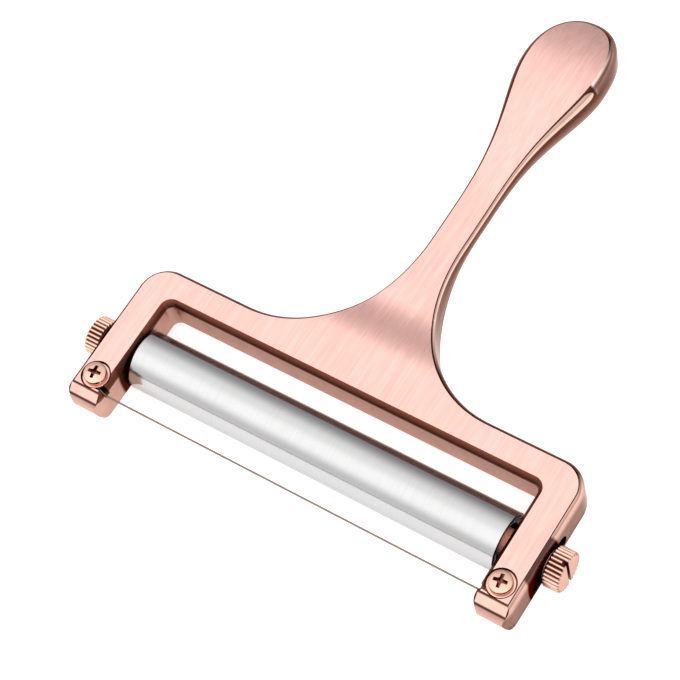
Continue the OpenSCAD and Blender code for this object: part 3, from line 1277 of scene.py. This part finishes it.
        # The round end
        for i in range(self.end_steps + 1):
            a = math.radians(90 * i / self.end_steps)
            x = 0.0 if i == self.end_steps else self.bulb_w / 2 * math.cos(a) ** (2 / self.end_power)
            line.append((x, bulb_y + (self.end_y - bulb_y) * math.sin(a) ** (2 / self.end_power)))
        return line

    def side_points(self, before: Flat, here: Flat, after: Flat) -> list[Point]:
        """The points down the side at one point of the edge line, from front to back.

        Args:
            before: the line's point before this one.
            here: the line's point.
            after: the line's point after it.

        Returns:
            The points.
        """
        x, y = here
        way_in = Vector((y - before[1], before[0] - x)).normalized()
        way_on = Vector((after[1] - y, x - after[0])).normalized()
        # A step along this way is the same distance from both neighbouring stretches of the line
        out = (way_in + way_on) / (1 + way_in.dot(way_on))
        z, t, r = self.front_at(y), self.thick_at(y), self.edge_at(y)
        low = math.radians(self.edge_angle)
        points = []
        for j in range(self.levels):
            back = j > self.edge_steps
            a = mix(low, math.pi / 2, (self.levels - 1 - j if back else j) / self.edge_steps)
            step, depth = r * (math.sin(a) - math.sin(low)), r * (math.cos(low) - math.cos(a))
            points.append((x + out.x * step, y + out.y * step, z - (t - depth if back else depth)))
        return points

    def skin(self) -> bpy.types.Object:
        """The whole outer skin, before anything is cut into it.

        Returns:
            The closed skin, with its flats and its rounded sides as two zones.
        """
        arm, grip = self.arm_line(), self.handle_line()
        half = arm + grip
        line = half + [(-x, y) for x, y in reversed(half[:-1])]
        n = len(line)
        points: list[Point] = []
        for i, here in enumerate(line):
            points += self.side_points(line[i - 1], here, line[(i + 1) % n])
        faces = self.flats(len(arm), len(half))
        zones = [Zone.FLAT] * len(faces)
        for i in range(n):
            k, m = i * self.levels, (i + 1) % n * self.levels
            faces += [[k + j, m + j, m + j + 1, k + j + 1] for j in range(self.levels - 1)]
        zones += [Zone.SIDE] * (len(faces) - len(zones))
        made = piece_from("frame_and_handle", points, faces)
        for face, zone in zip(made.data.polygons, zones):
            face.material_index = zone
        face_outwards(made)
        return made

    def flats(self, arm_n: int, half_n: int) -> list[list[int]]:
        """The faces of the front and the back, in strips from side to side.

        Args:
            arm_n: points on the arm's line, an even number.
            half_n: points on half of the whole line.

        Returns:
            The faces.
        """
        last, first = arm_n - 1, arm_n
        total = 2 * half_n - 1

        def mirrored(i: int) -> int:
            """The point across the handle's middle line."""
            return 2 * half_n - 2 - i

        rows: list[list[int]] = []
        # The two arms
        for i in range(last // 2):
            k = last - i
            rows.append([i, i + 1, k - 1, k])
            rows.append([mirrored(k), mirrored(k - 1), mirrored(i + 1), mirrored(i)])
        # The crossbar
        rows.append([0, last, first])
        rows.append([0, first, mirrored(first), mirrored(0)])
        rows.append([mirrored(0), mirrored(first), mirrored(last)])
        # The handle
        for i in range(first, half_n - 2):
            rows.append([i, i + 1, mirrored(i + 1), mirrored(i)])
        rows.append([half_n - 2, half_n - 1, mirrored(half_n - 2)])
        faces = []
        for row in rows:
            faces.append([(i % total) * self.levels for i in row])
            faces.append([(i % total) * self.levels + self.levels - 1 for i in reversed(row)])
        return faces

    def tip_cutter(self) -> bpy.types.Object:
        """What goes outside the round end that the tips have in side view.

        Returns:
            The cutter, with the tips' flat as a zone of its own, which keeps its border crisp.
        """
        r = self.tip_round_share * self.frame_t
        y, z, reach = self.tip_y + r, self.frame_z, self.frame_t
        first, last = self.facet_middle - self.facet_half, self.facet_middle + self.facet_half
        angles = [first * i / self.facet_steps for i in range(self.facet_steps + 1)]
        angles += [mix(last, 180, i / self.tip_steps) for i in range(self.tip_steps + 1)]
        rim = [(y - r * math.sin(math.radians(a)), z + r * math.cos(math.radians(a))) for a in angles]
        outline = rim + [(y, z - reach), (y - reach, z - reach), (y - reach, z + reach), (y, z + reach)]
        ends = (-self.arm_in - 2 * self.frame_t, self.arm_in + 2 * self.frame_t)
        made = prism_x("tip_cutter", outline, ends)
        for face in made.data.polygons:
            a = math.degrees(math.atan2(y - face.center.y / MM, face.center.z / MM - z))
            flat = abs(a - self.facet_middle) < self.facet_half / 2
            face.material_index = Zone.FACET if flat else Zone.TIP
        return made

    def arm_cutters(self, side: Side) -> list[bpy.types.Object]:
        """The slot, screw seat, screw hole and wire slit of one arm.

        Args:
            side: the arm.

        Returns:
            The cutters, in the zone of what is cut.
        """
        s = side.value
        slot_y, half, r = self.tip_y + self.roller_inset, (self.slot_l - self.slot_w) / 2, self.slot_w / 2
        slot = [(y, self.mid_z + z) for y, z in self.arc((slot_y + half, 0.0), r, -90, 90, self.slot_steps)
                + self.arc((slot_y - half, 0.0), r, 90, 270, self.slot_steps)]
        ends = (s * (self.arm_in - 2 * self.side_out), s * (self.arm_in + self.arm_w + 2 * self.side_out))
        seat_z = self.front_z - self.seat_depth
        slit_y = (POST.wire_y + POST.y - POST.loop_r) / 2
        slit = [(slit_y + u * self.slit_w / 2, self.front_z + v * self.slit_depth)
                for u, v in ((-1, -1), (1, -1), (1, 1), (-1, 1))]
        wells = [("seat_cutter", self.seat_d, seat_z, self.overcut),
                 ("hole_cutter", self.hole_d, seat_z - self.hole_l, self.hole_l + self.overcut)]
        made = [prism_x("slot_cutter", slot, ends)]
        for name, width, floor, depth in wells:
            corners = [(0, 0), (0, width / 2), (depth, width / 2), (depth, 0)]
            made.append(turned(name, corners, (s * POST.x, POST.y, floor), Axis.Z))
        made.append(prism_x("slit_cutter", slit, (s * POST.x, s * (POST.x - 2 * self.arm_w))))
        for cutter in made:
            assign(cutter, Zone.CUT)
        return made

    def marks_at(self, place: Vector, normal: Vector) -> dict[str, float]:
        """What the finishes need to know of a place on the skin, to put their painted reflections and
        painted shade.

        Args:
            place: the place, in metres.
            normal: the way that the skin faces there.

        Returns:
            roll: how far the front edge has turned, 1 where the side is upright.
            back: the share of the thickness from front to back.
            band: 1 on the handle's right edge, up to the widest part of the bulb, where the painted
                highlight band lies.
            bulb: 1 past that place.
            grip: 1 on the handle, rising from the crossbar.
            bay: 1 on the sides round the roller, which carry painted shade.
            nose: the angle round an arm tip, as a share of half a turn.
            rim: how far the outline faces back and to the left, where the studio is dark.
        """
        x, y, z = (c / MM for c in place)
        depth = self.front_at(y) - z
        tip_r = self.tip_round_share * self.frame_t
        inside = y < self.bar_y + self.bar_w / 2 and abs(x) < self.arm_in + self.arm_w / 2
        band_end = BAND_END + self.band_over
        return {
            "roll": depth / (self.edge_at(y) * math.cos(math.radians(self.edge_angle))),
            "back": depth / self.thick_at(y),
            "band": float(self.back_y + self.band_inset < y < band_end and x > 0),
            "bulb": float(y > band_end),
            "grip": self.ramp(y, "dip_start", "dip_end"),
            "bay": float(inside),
            "nose": math.atan2(self.tip_y + tip_r - y, z - self.frame_z) / math.pi,
            "rim": self.rim_at(normal),
        }

    def rim_at(self, normal: Vector) -> float:
        """The mark that puts painted shade on the rim, by the way that the skin faces; 0 on the flats.

        Args:
            normal: the way that the skin faces.

        Returns:
            The mark, from 0 to 1.
        """
        flat = Vector((normal.x, normal.y))
        if flat.length < self.flat_limit:
            return 0.0
        return clamp01((flat.normalized().dot(Vector(self.rim_way)) + self.rim_start) / self.rim_reach)

    def mark(self, piece: bpy.types.Object) -> None:
        """Keeps on each vertex what the finishes need to know of its place.

        Args:
            piece: the casting.
        """
        marks = [self.marks_at(vertex.co, vertex.normal) for vertex in piece.data.vertices]
        for name in marks[0]:
            kept = piece.data.attributes.new(name, "FLOAT", "POINT")
            kept.data.foreach_set("value", [mark[name] for mark in marks])

    def build(self) -> bpy.types.Object:
        """Builds the casting and dresses it.

        Returns:
            The casting.
        """
        piece = self.skin()
        cutters = [self.tip_cutter()] + [cutter for side in Side for cutter in self.arm_cutters(side)]
        shared = self.finishes
        # The cut surfaces take the recess finish, a painted shade
        for part in [piece, *cutters]:
            paint(part, shared.brushed, shared.side, shared.nose, shared.nose, shared.recess)
        carve(piece, cutters)
        shade(piece, self.crease)
        self.mark(piece)
        return dress(piece, "frame", "frame_casting")


# The roller


@dataclass
class Roller(Assembly):
    """The steel tube with its two end caps, and the axle that carries it."""

    length: float = 115.0
    outer_d: float = 16.8
    wall: float = 1.2
    rim_r: float = 0.35
    cap_l: float = 9.0
    cap_inset: float = 0.5
    cap_recess: float = 3.4
    cap_recess_d: float = 11.0
    cap_bore_d: float = 6.1
    bush_d: float = 7.6
    bush_bore_d: float = 4.1
    bush_start: float = 53.7
    bush_stop: float = 58.5206

    def tube(self) -> bpy.types.Object:
        """The polished tube, with its ends slightly rounded.

        Returns:
            The tube.
        """
        half, outer = self.length / 2, self.outer_d / 2
        profile = rounded_profile(ring_corners(-half, half, outer - self.wall, outer),
                                  [0.15, self.rim_r, self.rim_r, 0.15], 5)
        made = turned("roller_shell", profile, (0, *AXLE[1:]), steps=160)
        return dress(plain(made, self.finishes.steel), "roller", "roller_tube")

    def cap(self, side: Side) -> bpy.types.Object:
        """One black end cap with its round recess.

        Args:
            side: the roller's end.

        Returns:
            The cap.
        """
        outer = self.length / 2 - self.cap_inset
        bore, recess, rim = self.cap_bore_d / 2, self.cap_recess_d / 2, self.outer_d / 2 - self.wall
        corners = [(outer - self.cap_l, bore), (outer - self.cap_l, rim), (outer, rim), (outer, recess),
                   (outer - self.cap_recess, recess), (outer - self.cap_recess, bore)]
        profile = rounded_profile(corners, [0, 0.3, 0.3, 0.35, 0.4, 0.2], 4)
        made = turned(f"end_cap_{side.word}", profile, (0, *AXLE[1:]), sign=side.value, steps=112)
        return dress(plain(made, self.finishes.plastic), "roller", f"roller_cap_{side.word}")

    def bush(self, side: Side) -> bpy.types.Object:
        """The small bush between the axle and the arm.

        Args:
            side: the axle's end.

        Returns:
            The bush.
        """
        corners = ring_corners(self.bush_start, self.bush_stop, self.bush_bore_d / 2, self.bush_d / 2)
        profile = rounded_profile(corners, [0.1, 0.3, 0.3, 0.1], 4)
        made = turned(f"bush_{side.word}", profile, (0, *AXLE[1:]), sign=side.value, steps=72)
        return dress(plain(made, self.finishes.bush), "axle", f"axle_bush_{side.word}")

    def build(self) -> None:
        """Builds the roller, its caps and bushes, and gives the axle rod its finish."""
        self.tube()
        for side in Side:
            self.cap(side)
            self.bush(side)
        rod = frame["nodes"]["axle_rod"]
        rod.data.materials.clear()
        paint(rod, self.finishes.rod)


# The thumb screws


class KnurlTree(Tree):
    """The node tree that makes a knurled head from its ridge count and sizes."""

    STEPS_A_RIDGE: float = 8.0
    SHARPNESS: float = 1.35
    MERGE: float = 1e-7

    def __init__(self) -> None:
        """Builds the tree once for both heads."""
        super().__init__("knurled_head", {
            "Ridges": "Int", "Radius": "Float", "Groove": "Float", "Length": "Float", "Land": "Float",
            "Start": "Vector", "Turn": "Vector", "Finish": "Material"})
        put = self.node("GeometryNodeTransform", Geometry=self.closed(self.ridged_disc()),
                        Translation=self.given["Start"], Rotation=self.given["Turn"])
        self.end(put.outputs[0])

    def sum(self, operation: str, *values: object) -> bpy.types.NodeSocket:
        """A sum of numbers.

        Args:
            operation: Blender's name for the sum.
            values: the numbers, each a socket or a value.

        Returns:
            The result.
        """
        made = self.node("ShaderNodeMath")
        made.operation = operation
        for value, socket in zip(values, made.inputs):
            self.feed(socket, value)
        return made.outputs[0]

    def ridged_disc(self) -> bpy.types.NodeSocket:
        """A disc whose rim dips between the ridges.

        Returns:
            The disc's mesh.
        """
        radius, ridges = self.given["Radius"], self.given["Ridges"]
        disc = self.node("GeometryNodeMeshCircle", Radius=radius,
                         Vertices=self.sum("MULTIPLY", ridges, self.STEPS_A_RIDGE))
        disc.fill_type = "NGON"
        place = self.node("GeometryNodeInputPosition").outputs[0]
        parts = self.node("ShaderNodeSeparateXYZ", Vector=place)
        angle = self.sum("ARCTAN2", parts.outputs["Y"], parts.outputs["X"])
        wave = self.sum("COSINE", self.sum("MULTIPLY", angle, ridges))
        # 0 on a ridge and 1 halfway to the next
        dip = self.sum("POWER", self.sum("MULTIPLY_ADD", wave, -0.5, 0.5), self.SHARPNESS)
        depth = self.sum("DIVIDE", self.sum("MULTIPLY", dip, self.given["Groove"]), radius)
        moved = self.node("ShaderNodeVectorMath")
        moved.operation = "SCALE"
        self.feed(moved.inputs[0], place)
        self.feed(moved.inputs["Scale"], self.sum("SUBTRACT", 1.0, depth))
        return self.node("GeometryNodeSetPosition", Geometry=disc.outputs[0],
                         Position=moved.outputs[0]).outputs[0]

    def grown(self, mesh: bpy.types.NodeSocket, selection: object, length: bpy.types.NodeSocket,
              scale: object) -> tuple[bpy.types.NodeSocket, bpy.types.NodeSocket]:
        """Draws the top face out along Z and scales it.

        Args:
            mesh: the mesh so far.
            selection: the face to draw out, or True for all.
            length: how far.
            scale: the new top's scale.

        Returns:
            The mesh, and the new top's selection.
        """
        up = self.node("ShaderNodeCombineXYZ", Z=1.0)
        pull = self.node("GeometryNodeExtrudeMesh", Mesh=mesh, Selection=selection, Offset=up.outputs[0],
                         Offset_Scale=length, Individual=False)
        size = self.node("GeometryNodeScaleElements", Geometry=pull.outputs["Mesh"],
                         Selection=pull.outputs["Top"], Scale=scale)
        return size.outputs["Geometry"], pull.outputs["Top"]

    def closed(self, disc: bpy.types.NodeSocket) -> bpy.types.NodeSocket:
        """The head: the disc, drawn out in three steps with a land at each end, and closed below.

        Args:
            disc: the ridged disc.

        Returns:
            The head's mesh, standing along Z.
        """
        land = self.given["Land"]
        small = self.sum("SUBTRACT", 1.0, self.sum("DIVIDE", land, self.given["Radius"]))
        shrink = self.node("ShaderNodeCombineXYZ", X=small, Y=small, Z=1.0)
        shrunk = self.node("GeometryNodeTransform", Geometry=disc, Scale=shrink.outputs[0]).outputs[0]
        straight = self.sum("SUBTRACT", self.given["Length"], self.sum("MULTIPLY", land, 2.0))
        body, top = shrunk, True
        for length, scale in ((land, self.sum("DIVIDE", 1.0, small)), (straight, 1.0), (land, small)):
            body, top = self.grown(body, top, length, scale)
        both = self.node("GeometryNodeJoinGeometry")
        for mesh in (body, self.node("GeometryNodeFlipFaces", Mesh=shrunk).outputs[0]):
            self.feed(both.inputs[0], mesh)
        return self.node("GeometryNodeMergeByDistance", Geometry=both.outputs[0],
                         Distance=self.MERGE).outputs[0]


@dataclass
class ThumbScrew(Assembly):
    """A knurled thumb screw with its collar, shank, coin slot and washer."""

    side: Side
    washer_t: float = 0.4
    washer_d: float = 9.0
    washer_bore_d: float = 4.1
    collar_d: float = 8.4
    collar_l: float = 0.3
    overlap: float = 0.2
    knurl_d: float = 11.4
    knurl_l: float = 4.7
    ridges: int = 28
    groove: float = 0.62
    land: float = 0.3
    shank_d: float = 4.0
    shank_start: float = 45.7
    coin_w: float = 1.1
    coin_depth: float = 1.3
    coin_turn_left: float = 18.0
    coin_turn_right: float = 88.0
    soft_w: float = 0.09
    soft_angle: float = 55.0
    crease: float = 38.0

    @property
    def washer_x(self) -> float:
        """Where the washer starts."""
        return FACE_OUT + PLAY

    @property
    def collar_x(self) -> float:
        """Where the collar starts."""
        return self.washer_x + self.washer_t

    @property
    def knurl_x(self) -> float:
        """Where the knurled head starts."""
        return self.collar_x + self.collar_l

    def coin_cutter(self) -> bpy.types.Object:
        """What the coin slot takes out of the head's end.

        Returns:
            The cutter.
        """
        s, end_x = self.side.value, self.knurl_x + self.knurl_l
        a = math.radians(self.coin_turn_right if self.side is Side.RIGHT else self.coin_turn_left)
        half, reach = self.coin_w / 2, self.knurl_d
        c, d = math.cos(a), math.sin(a)
        outline = [(AXLE[1] + c * u - d * v, AXLE[2] + d * u + c * v)
                   for u, v in ((-reach, -half), (reach, -half), (reach, half), (-reach, half))]
        ends = (s * (end_x - self.coin_depth), s * (end_x + self.coin_depth))
        return prism_x("coin_cutter", outline, ends)

    def head(self, tree: KnurlTree) -> bpy.types.Object:
        """The knurled head with the coin slot cut across its end.

        Args:
            tree: the node tree that makes it.

        Returns:
            The head.
        """
        s = self.side.value
        head = piece_from(f"thumb_screw_{self.side.word}_brass", [(0, 0, 0)], [])
        tree.run(head, {
            "Ridges": self.ridges, "Radius": self.knurl_d / 2 * MM, "Groove": self.groove * MM,
            "Length": self.knurl_l * MM, "Land": self.land * MM,
            "Start": (s * self.knurl_x * MM, AXLE[1] * MM, AXLE[2] * MM),
            "Turn": (0.0, s * math.pi / 2, 0.0), "Finish": self.finishes.small})
        head.data.materials.clear()
        cutter = self.coin_cutter()
        self.paint(head)
        self.paint(cutter)
        for face in head.data.polygons:
            face.material_index = ScrewZone.RIDGES if abs(face.normal.x) < 0.5 else ScrewZone.HEAD
        assign(cutter, ScrewZone.CUT)
        carve(head, [cutter])
        return head

    def paint(self, part: bpy.types.Object) -> None:
        """Gives a part of the screw the finishes of its zones, with painted shade in the coin slot, between
        the ridges and on the stem.
        """
        paint(part, self.finishes.small, self.finishes.recess, self.finishes.ridged, self.finishes.dim)

    def stem(self) -> bpy.types.Object:
        """The collar and the shank behind the head.

        Returns:
            The stem.
        """
        r, c, stop = self.shank_d / 2, self.collar_d / 2, self.knurl_x + self.overlap
        corners = [(self.shank_start, 0), (self.shank_start, r), (self.collar_x, r), (self.collar_x, c),
                   (stop, c), (stop, 0)]
        profile = rounded_profile(corners, [0, 0.4, 0, 0.15, 0, 0], 3)
        made = turned("stem", profile, (0, *AXLE[1:]), sign=self.side.value, steps=64)
        self.paint(made)
        # The stem takes the dim finish, a painted shade
        assign(made, ScrewZone.STEM)
        return made

    def washer(self) -> bpy.types.Object:
        """The washer between the arm and the thumb screw.

        Returns:
            The washer.
        """
        word = self.side.word
        corners = ring_corners(self.washer_x, self.collar_x, self.washer_bore_d / 2, self.washer_d / 2)
        profile = rounded_profile(corners, [0, 0.15, 0.2, 0], 3)
        made = turned(f"washer_{word}_brass", profile, (0, *AXLE[1:]), sign=self.side.value, steps=80)
        # The washer takes the dim finish, a painted shade
        return dress(plain(made, self.finishes.dim), f"washer_{word}",
                     f"thumb_washer_{word}")

    def build(self, tree: KnurlTree) -> None:
        """Builds the thumb screw and its washer.

        Args:
            tree: the node tree that makes the knurled head.
        """
        head, word = self.head(tree), self.side.word
        stem = self.stem()
        soften(head, self.soft_w, self.soft_angle)
        join(head, stem)
        shade(head, self.crease)
        dress(head, f"thumb_{word}", f"thumb_screw_{word}")
        self.washer()


# The wire and its screws


@dataclass
class WireScrew(Assembly):
    """A dome-headed cross screw in its seat, with the washer that clamps the wire."""

    side: Side
    seat_z: float = 14.3
    clamp_z: float = 14.95
    clamp_t: float = 0.5
    clamp_d: float = 7.6
    screw_d: float = 3.5
    screw_l: float = 8.0
    head_d: float = 6.4
    head_h: float = 2.3
    dome_r: float = 9.0
    dome_steps: int = 10
    cross_l: float = 4.5
    cross_w: float = 1.1
    cross_rise: float = 0.6
    cross_depth: float = 1.3
    turn: float = 8.0
    soft_w: float = 0.07
    soft_angle: float = 50.0
    crease: float = 32.0

    def cross_outline(self, z: float, length: float, width: float) -> list[Point]:
        """The cross at one height, with its inner corners filled.

        Args:
            z: the height.
            length: how far its arms reach, as a share of their length at the top.
            width: how wide they are, as a share of their width at the top.

        Returns:
            The outline's points.
        """
        a, b = self.cross_l / 2 * length, self.cross_w / 2 * width
        c, d, spin = b * 1.5, b * 1.05, math.radians(self.turn)
        outline = [(a, -b), (a, b), (c, d), (d, c), (b, a), (-b, a), (-d, c), (-c, d), (-a, b), (-a, -b),
                   (-c, -d), (-d, -c), (-b, -a), (b, -a), (d, -c), (c, -d)]
        return [(self.side.value * POST.x + u * math.cos(spin) - v * math.sin(spin),
                 POST.y + u * math.sin(spin) + v * math.cos(spin), z) for u, v in outline]

    def cross_cutter(self, top: float) -> bpy.types.Object:
        """The tapered cross that the driver fits.

        Args:
            top: the height of the dome's top.

        Returns:
            The cutter.
        """
        return block_between("cross_cutter", self.cross_outline(top + self.cross_rise, 1.06, 1.1),
                             self.cross_outline(top - self.cross_depth, 0.62, 0.55))

    def screw_profile(self, low: float) -> list[Flat]:
        """The screw's section: shank, underside, rim and dome.

        Args:
            low: the shank's end, from the head's underside.

        Returns:
            (height, radius) points round the section.
        """
        r, shank, n = self.head_d / 2, self.screw_d / 2, self.dome_steps
        drop = self.dome_r - math.sqrt(self.dome_r ** 2 - r ** 2)
        rim = self.head_h - drop
        dome = [(rim + drop * (1 - (i / n) ** 2), r * i / n) for i in range(n - 1, -1, -1)]
        edge = [(rim - 0.25, r), (rim - 0.06, r - 0.05), (rim + 0.05, r - 0.2)]
        stem = [(low, 0), (low, shank - 0.5), (low + 0.5, shank), (0, shank), (0, r - 0.15), (0.15, r)]
        return stem + edge + dome

    def screw(self) -> bpy.types.Object:
        """The screw, with the driver's cross cut into its head.

        Returns:
            The screw.
        """
        head_z, word = self.clamp_z + self.clamp_t, self.side.word
        profile = self.screw_profile(self.seat_z - self.screw_l - head_z)
        place = (self.side.value * POST.x, POST.y, head_z)
        head = turned(f"cross_screw_{word}", profile, place, Axis.Z, steps=80)
        cutter = self.cross_cutter(head_z + self.head_h)
        # The driver's cross takes the recess finish, a painted shade
        for part in (head, cutter):
            paint(part, self.finishes.small, self.finishes.recess)
        assign(cutter, ScrewZone.CUT)
        carve(head, [cutter])
        soften(head, self.soft_w, self.soft_angle)
        shade(head, self.crease)
        return dress(head, "frame", f"wire_screw_{word}")

    def washer(self) -> bpy.types.Object:
        """The washer under the screw's head.

        Returns:
            The washer.
        """
        word = self.side.word
        corners = ring_corners(0, self.clamp_t, self.screw_d / 2 + PLAY / 2, self.clamp_d / 2)
        place = (self.side.value * POST.x, POST.y, self.clamp_z)
        made = turned(f"clamp_washer_{word}", rounded_profile(corners, [0, 0.12, 0.15, 0], 3), place,
                      Axis.Z, steps=80)
        return dress(plain(made, self.finishes.small), "frame", f"wire_washer_{word}")

    def build(self) -> None:
        """Builds the screw and its washer."""
        self.screw()
        self.washer()


class WireTree(Tree):
    """The node tree that sweeps a round wire along a route."""

    def __init__(self) -> None:
        """Builds the tree: a line, rounded at its bends, with a circle swept along it."""
        super().__init__("swept_wire", {"Geometry": "Geometry", "Radius": "Float", "Bend": "Float",
                                        "Sides": "Int", "Finish": "Material"})
        line = self.node("GeometryNodeMeshToCurve", Mesh=self.given["Geometry"])
        bent = self.node("GeometryNodeFilletCurve", Curve=line.outputs[0], Radius=self.given["Bend"],
                         Limit_Radius=True)
        ring = self.node("GeometryNodeCurvePrimitiveCircle", Radius=self.given["Radius"],
                         Resolution=self.given["Sides"])
        swept = self.node("GeometryNodeCurveToMesh", Curve=bent.outputs[0],
                          Profile_Curve=ring.outputs[0], Fill_Caps=True)
        self.end(swept.outputs[0])


@dataclass
class CuttingWire(Assembly):
    """The wire, from a loop round one screw to a loop round the other."""

    span_x: float = 58.6206
    span_z: float = 13.4
    wire_d: float = 0.55
    sides: int = 16
    bend_r: float = 0.5
    loop_z: float = 14.625
    loop_turn: float = 295.0
    loop_steps: int = 40
    crease: float = 40.0

    def route(self) -> list[Point]:
        """The wire's centre line, from left to right.

        Returns:
            The line's points, in millimetres.
        """
        half = [(self.span_x, POST.wire_y, self.span_z)]
        for i in range(self.loop_steps + 1):
            a = math.radians(self.loop_turn * i / self.loop_steps - 90)
            across, along = POST.loop_r * math.cos(a), POST.loop_r * math.sin(a)
            half.append((POST.x + across, POST.y + along, self.loop_z))
        return [(-x, y, z) for x, y, z in reversed(half)] + half

    def build(self) -> None:
        """Builds the wire."""
        route = self.route()
        made = piece_from("steel_wire", route, [])
        made.data.edges.add(len(route) - 1)
        for i, edge in enumerate(made.data.edges):
            edge.vertices = (i, i + 1)
        made.data.update()
        WireTree().run(made, {"Radius": self.wire_d / 2 * MM, "Bend": self.bend_r * MM,
                              "Sides": self.sides, "Finish": self.finishes.wire})
        face_outwards(made)
        shade(made, self.crease)
        dress(made, "frame", "cutting_wire")


# The studio


@dataclass
class Studio:
    """The pale floor, the soft lights and the camera."""

    lens: float = 123.37
    sensor: float = 36.0
    clip: tuple[float, float] = (0.01, 50.0)
    eye: Point = (231.88, -237.44, 547.71)
    turn: Point = (29.0192, 10.1134, 32.6540)
    floor_half: float = 3000.0
    floor_grey: float = 0.62
    floor_rough: float = 0.9
    floor_glow: float = 0.58
    sun_spread: float = 40.0
    sun_power: float = 0.8
    rise: list[tuple[float, float]] = field(default_factory=lambda: [
        (0.0, 1.15), (0.25, 1.03), (0.43, 1.22), (0.59, 1.6), (0.73, 1.9), (1.0, 1.9)])
    turn_away: list[tuple[float, float]] = field(default_factory=lambda: [
        (-0.2, 1.0), (0.0, 0.92), (0.16, 0.82), (0.4, 0.76), (0.55, 0.66), (0.67, 0.58), (0.79, 0.53),
        (0.88, 0.48), (0.93, 0.37), (1.0, 0.3)])

    def placed(self, name: str, data: bpy.types.ID) -> bpy.types.Object:
        """Adds a camera or light to the scene, turned as the picture was taken.

        Args:
            name: the object's name.
            data: the camera or light.

        Returns:
            The object.
        """
        made = bpy.data.objects.new(name, data)
        made.rotation_euler = [math.radians(a) for a in self.turn]
        bpy.context.scene.collection.objects.link(made)
        return made

    def camera(self) -> None:
        """Puts the camera where the picture was taken from."""
        data = bpy.data.cameras.new("camera")
        data.lens, data.sensor_width = self.lens, self.sensor
        data.clip_start, data.clip_end = self.clip
        made = self.placed("camera", data)
        made.location = [c * MM for c in self.eye]
        bpy.context.scene.camera = made

    def floor(self) -> None:
        """A plain pale floor under the roller, lit from below like a light table."""
        h = self.floor_half
        made = piece_from("floor", [(-h, -h, 0), (h, -h, 0), (h, h, 0), (-h, h, 0)], [[0, 1, 2, 3]])
        look = Finish("pale_floor")
        look.set(Base_Color=(*(self.floor_grey,) * 3, 1.0), Roughness=self.floor_rough,
                 Emission_Color=(1.0, 1.0, 1.0, 1.0), Emission_Strength=self.floor_glow)
        paint(made, look.material)

    def sun(self) -> None:
        """A soft light from the camera's side that whitens the floor and isn't mirrored in the metal."""
        data = bpy.data.lights.new("fill", "SUN")
        data.angle = math.radians(self.sun_spread)
        data.energy = self.sun_power
        self.placed("fill", data).visible_glossy = False

    @staticmethod
    def steps(tree: bpy.types.NodeTree, value: bpy.types.NodeSocket,
              stops: list[tuple[float, float]]) -> bpy.types.NodeSocket:
        """Maps a direction's share from -1 to 1 to a brightness.

        Args:
            tree: the world's node tree.
            value: the direction's share along one axis.
            stops: (share, brightness) pairs, in order.

        Returns:
            The brightness.
        """
        share = tree.nodes.new("ShaderNodeMapRange")
        share.inputs["From Min"].default_value = -1.0
        tree.links.new(value, share.inputs["Value"])
        ramp = tree.nodes.new("ShaderNodeValToRGB")
        tree.links.new(share.outputs["Result"], ramp.inputs["Fac"])
        band = ramp.color_ramp
        for i, (place, bright) in enumerate(stops):
            step = band.elements[i] if i < 2 else band.elements.new(place / 2 + 0.5)
            step.position, step.color = place / 2 + 0.5, (bright, bright, bright, 1)
        return ramp.outputs["Color"]

    def world(self) -> None:
        """A plain sky that is brightest overhead and falls off behind the slicer."""
        world = bpy.data.worlds.new("studio")
        bpy.context.scene.world = world
        world.use_nodes = True
        tree = world.node_tree
        place = tree.nodes.new("ShaderNodeTexCoord")
        split = tree.nodes.new("ShaderNodeSeparateXYZ")
        tree.links.new(place.outputs["Generated"], split.inputs[0])
        sky = tree.nodes["Background"]
        tree.links.new(self.steps(tree, split.outputs["Z"], self.rise), sky.inputs["Color"])
        tree.links.new(self.steps(tree, split.outputs["Y"], self.turn_away), sky.inputs["Strength"])

    def build(self) -> None:
        """Builds the whole studio."""
        self.camera()
        self.floor()
        self.world()
        self.sun()
        settings = bpy.context.scene.view_settings
        settings.view_transform, settings.look = "Standard", "None"


def corners(pair: tuple[Vector, Vector]) -> list[list[float]]:
    """A box's two corners as plain lists."""
    return [list(map(float, corner)) for corner in pair]


def main() -> None:
    """Builds the slicer and its studio."""
    logging.basicConfig(level=logging.INFO, format="%(message)s")
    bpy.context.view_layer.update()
    Studio().build()
    finishes = Finishes()
    Casting(finishes).build()
    Roller(finishes).build()
    knurl = KnurlTree()
    for side in Side:
        ThumbScrew(finishes, side).build(knurl)
        WireScrew(finishes, side).build()
    CuttingWire(finishes).build()


if __name__ == "__main__":
    main()
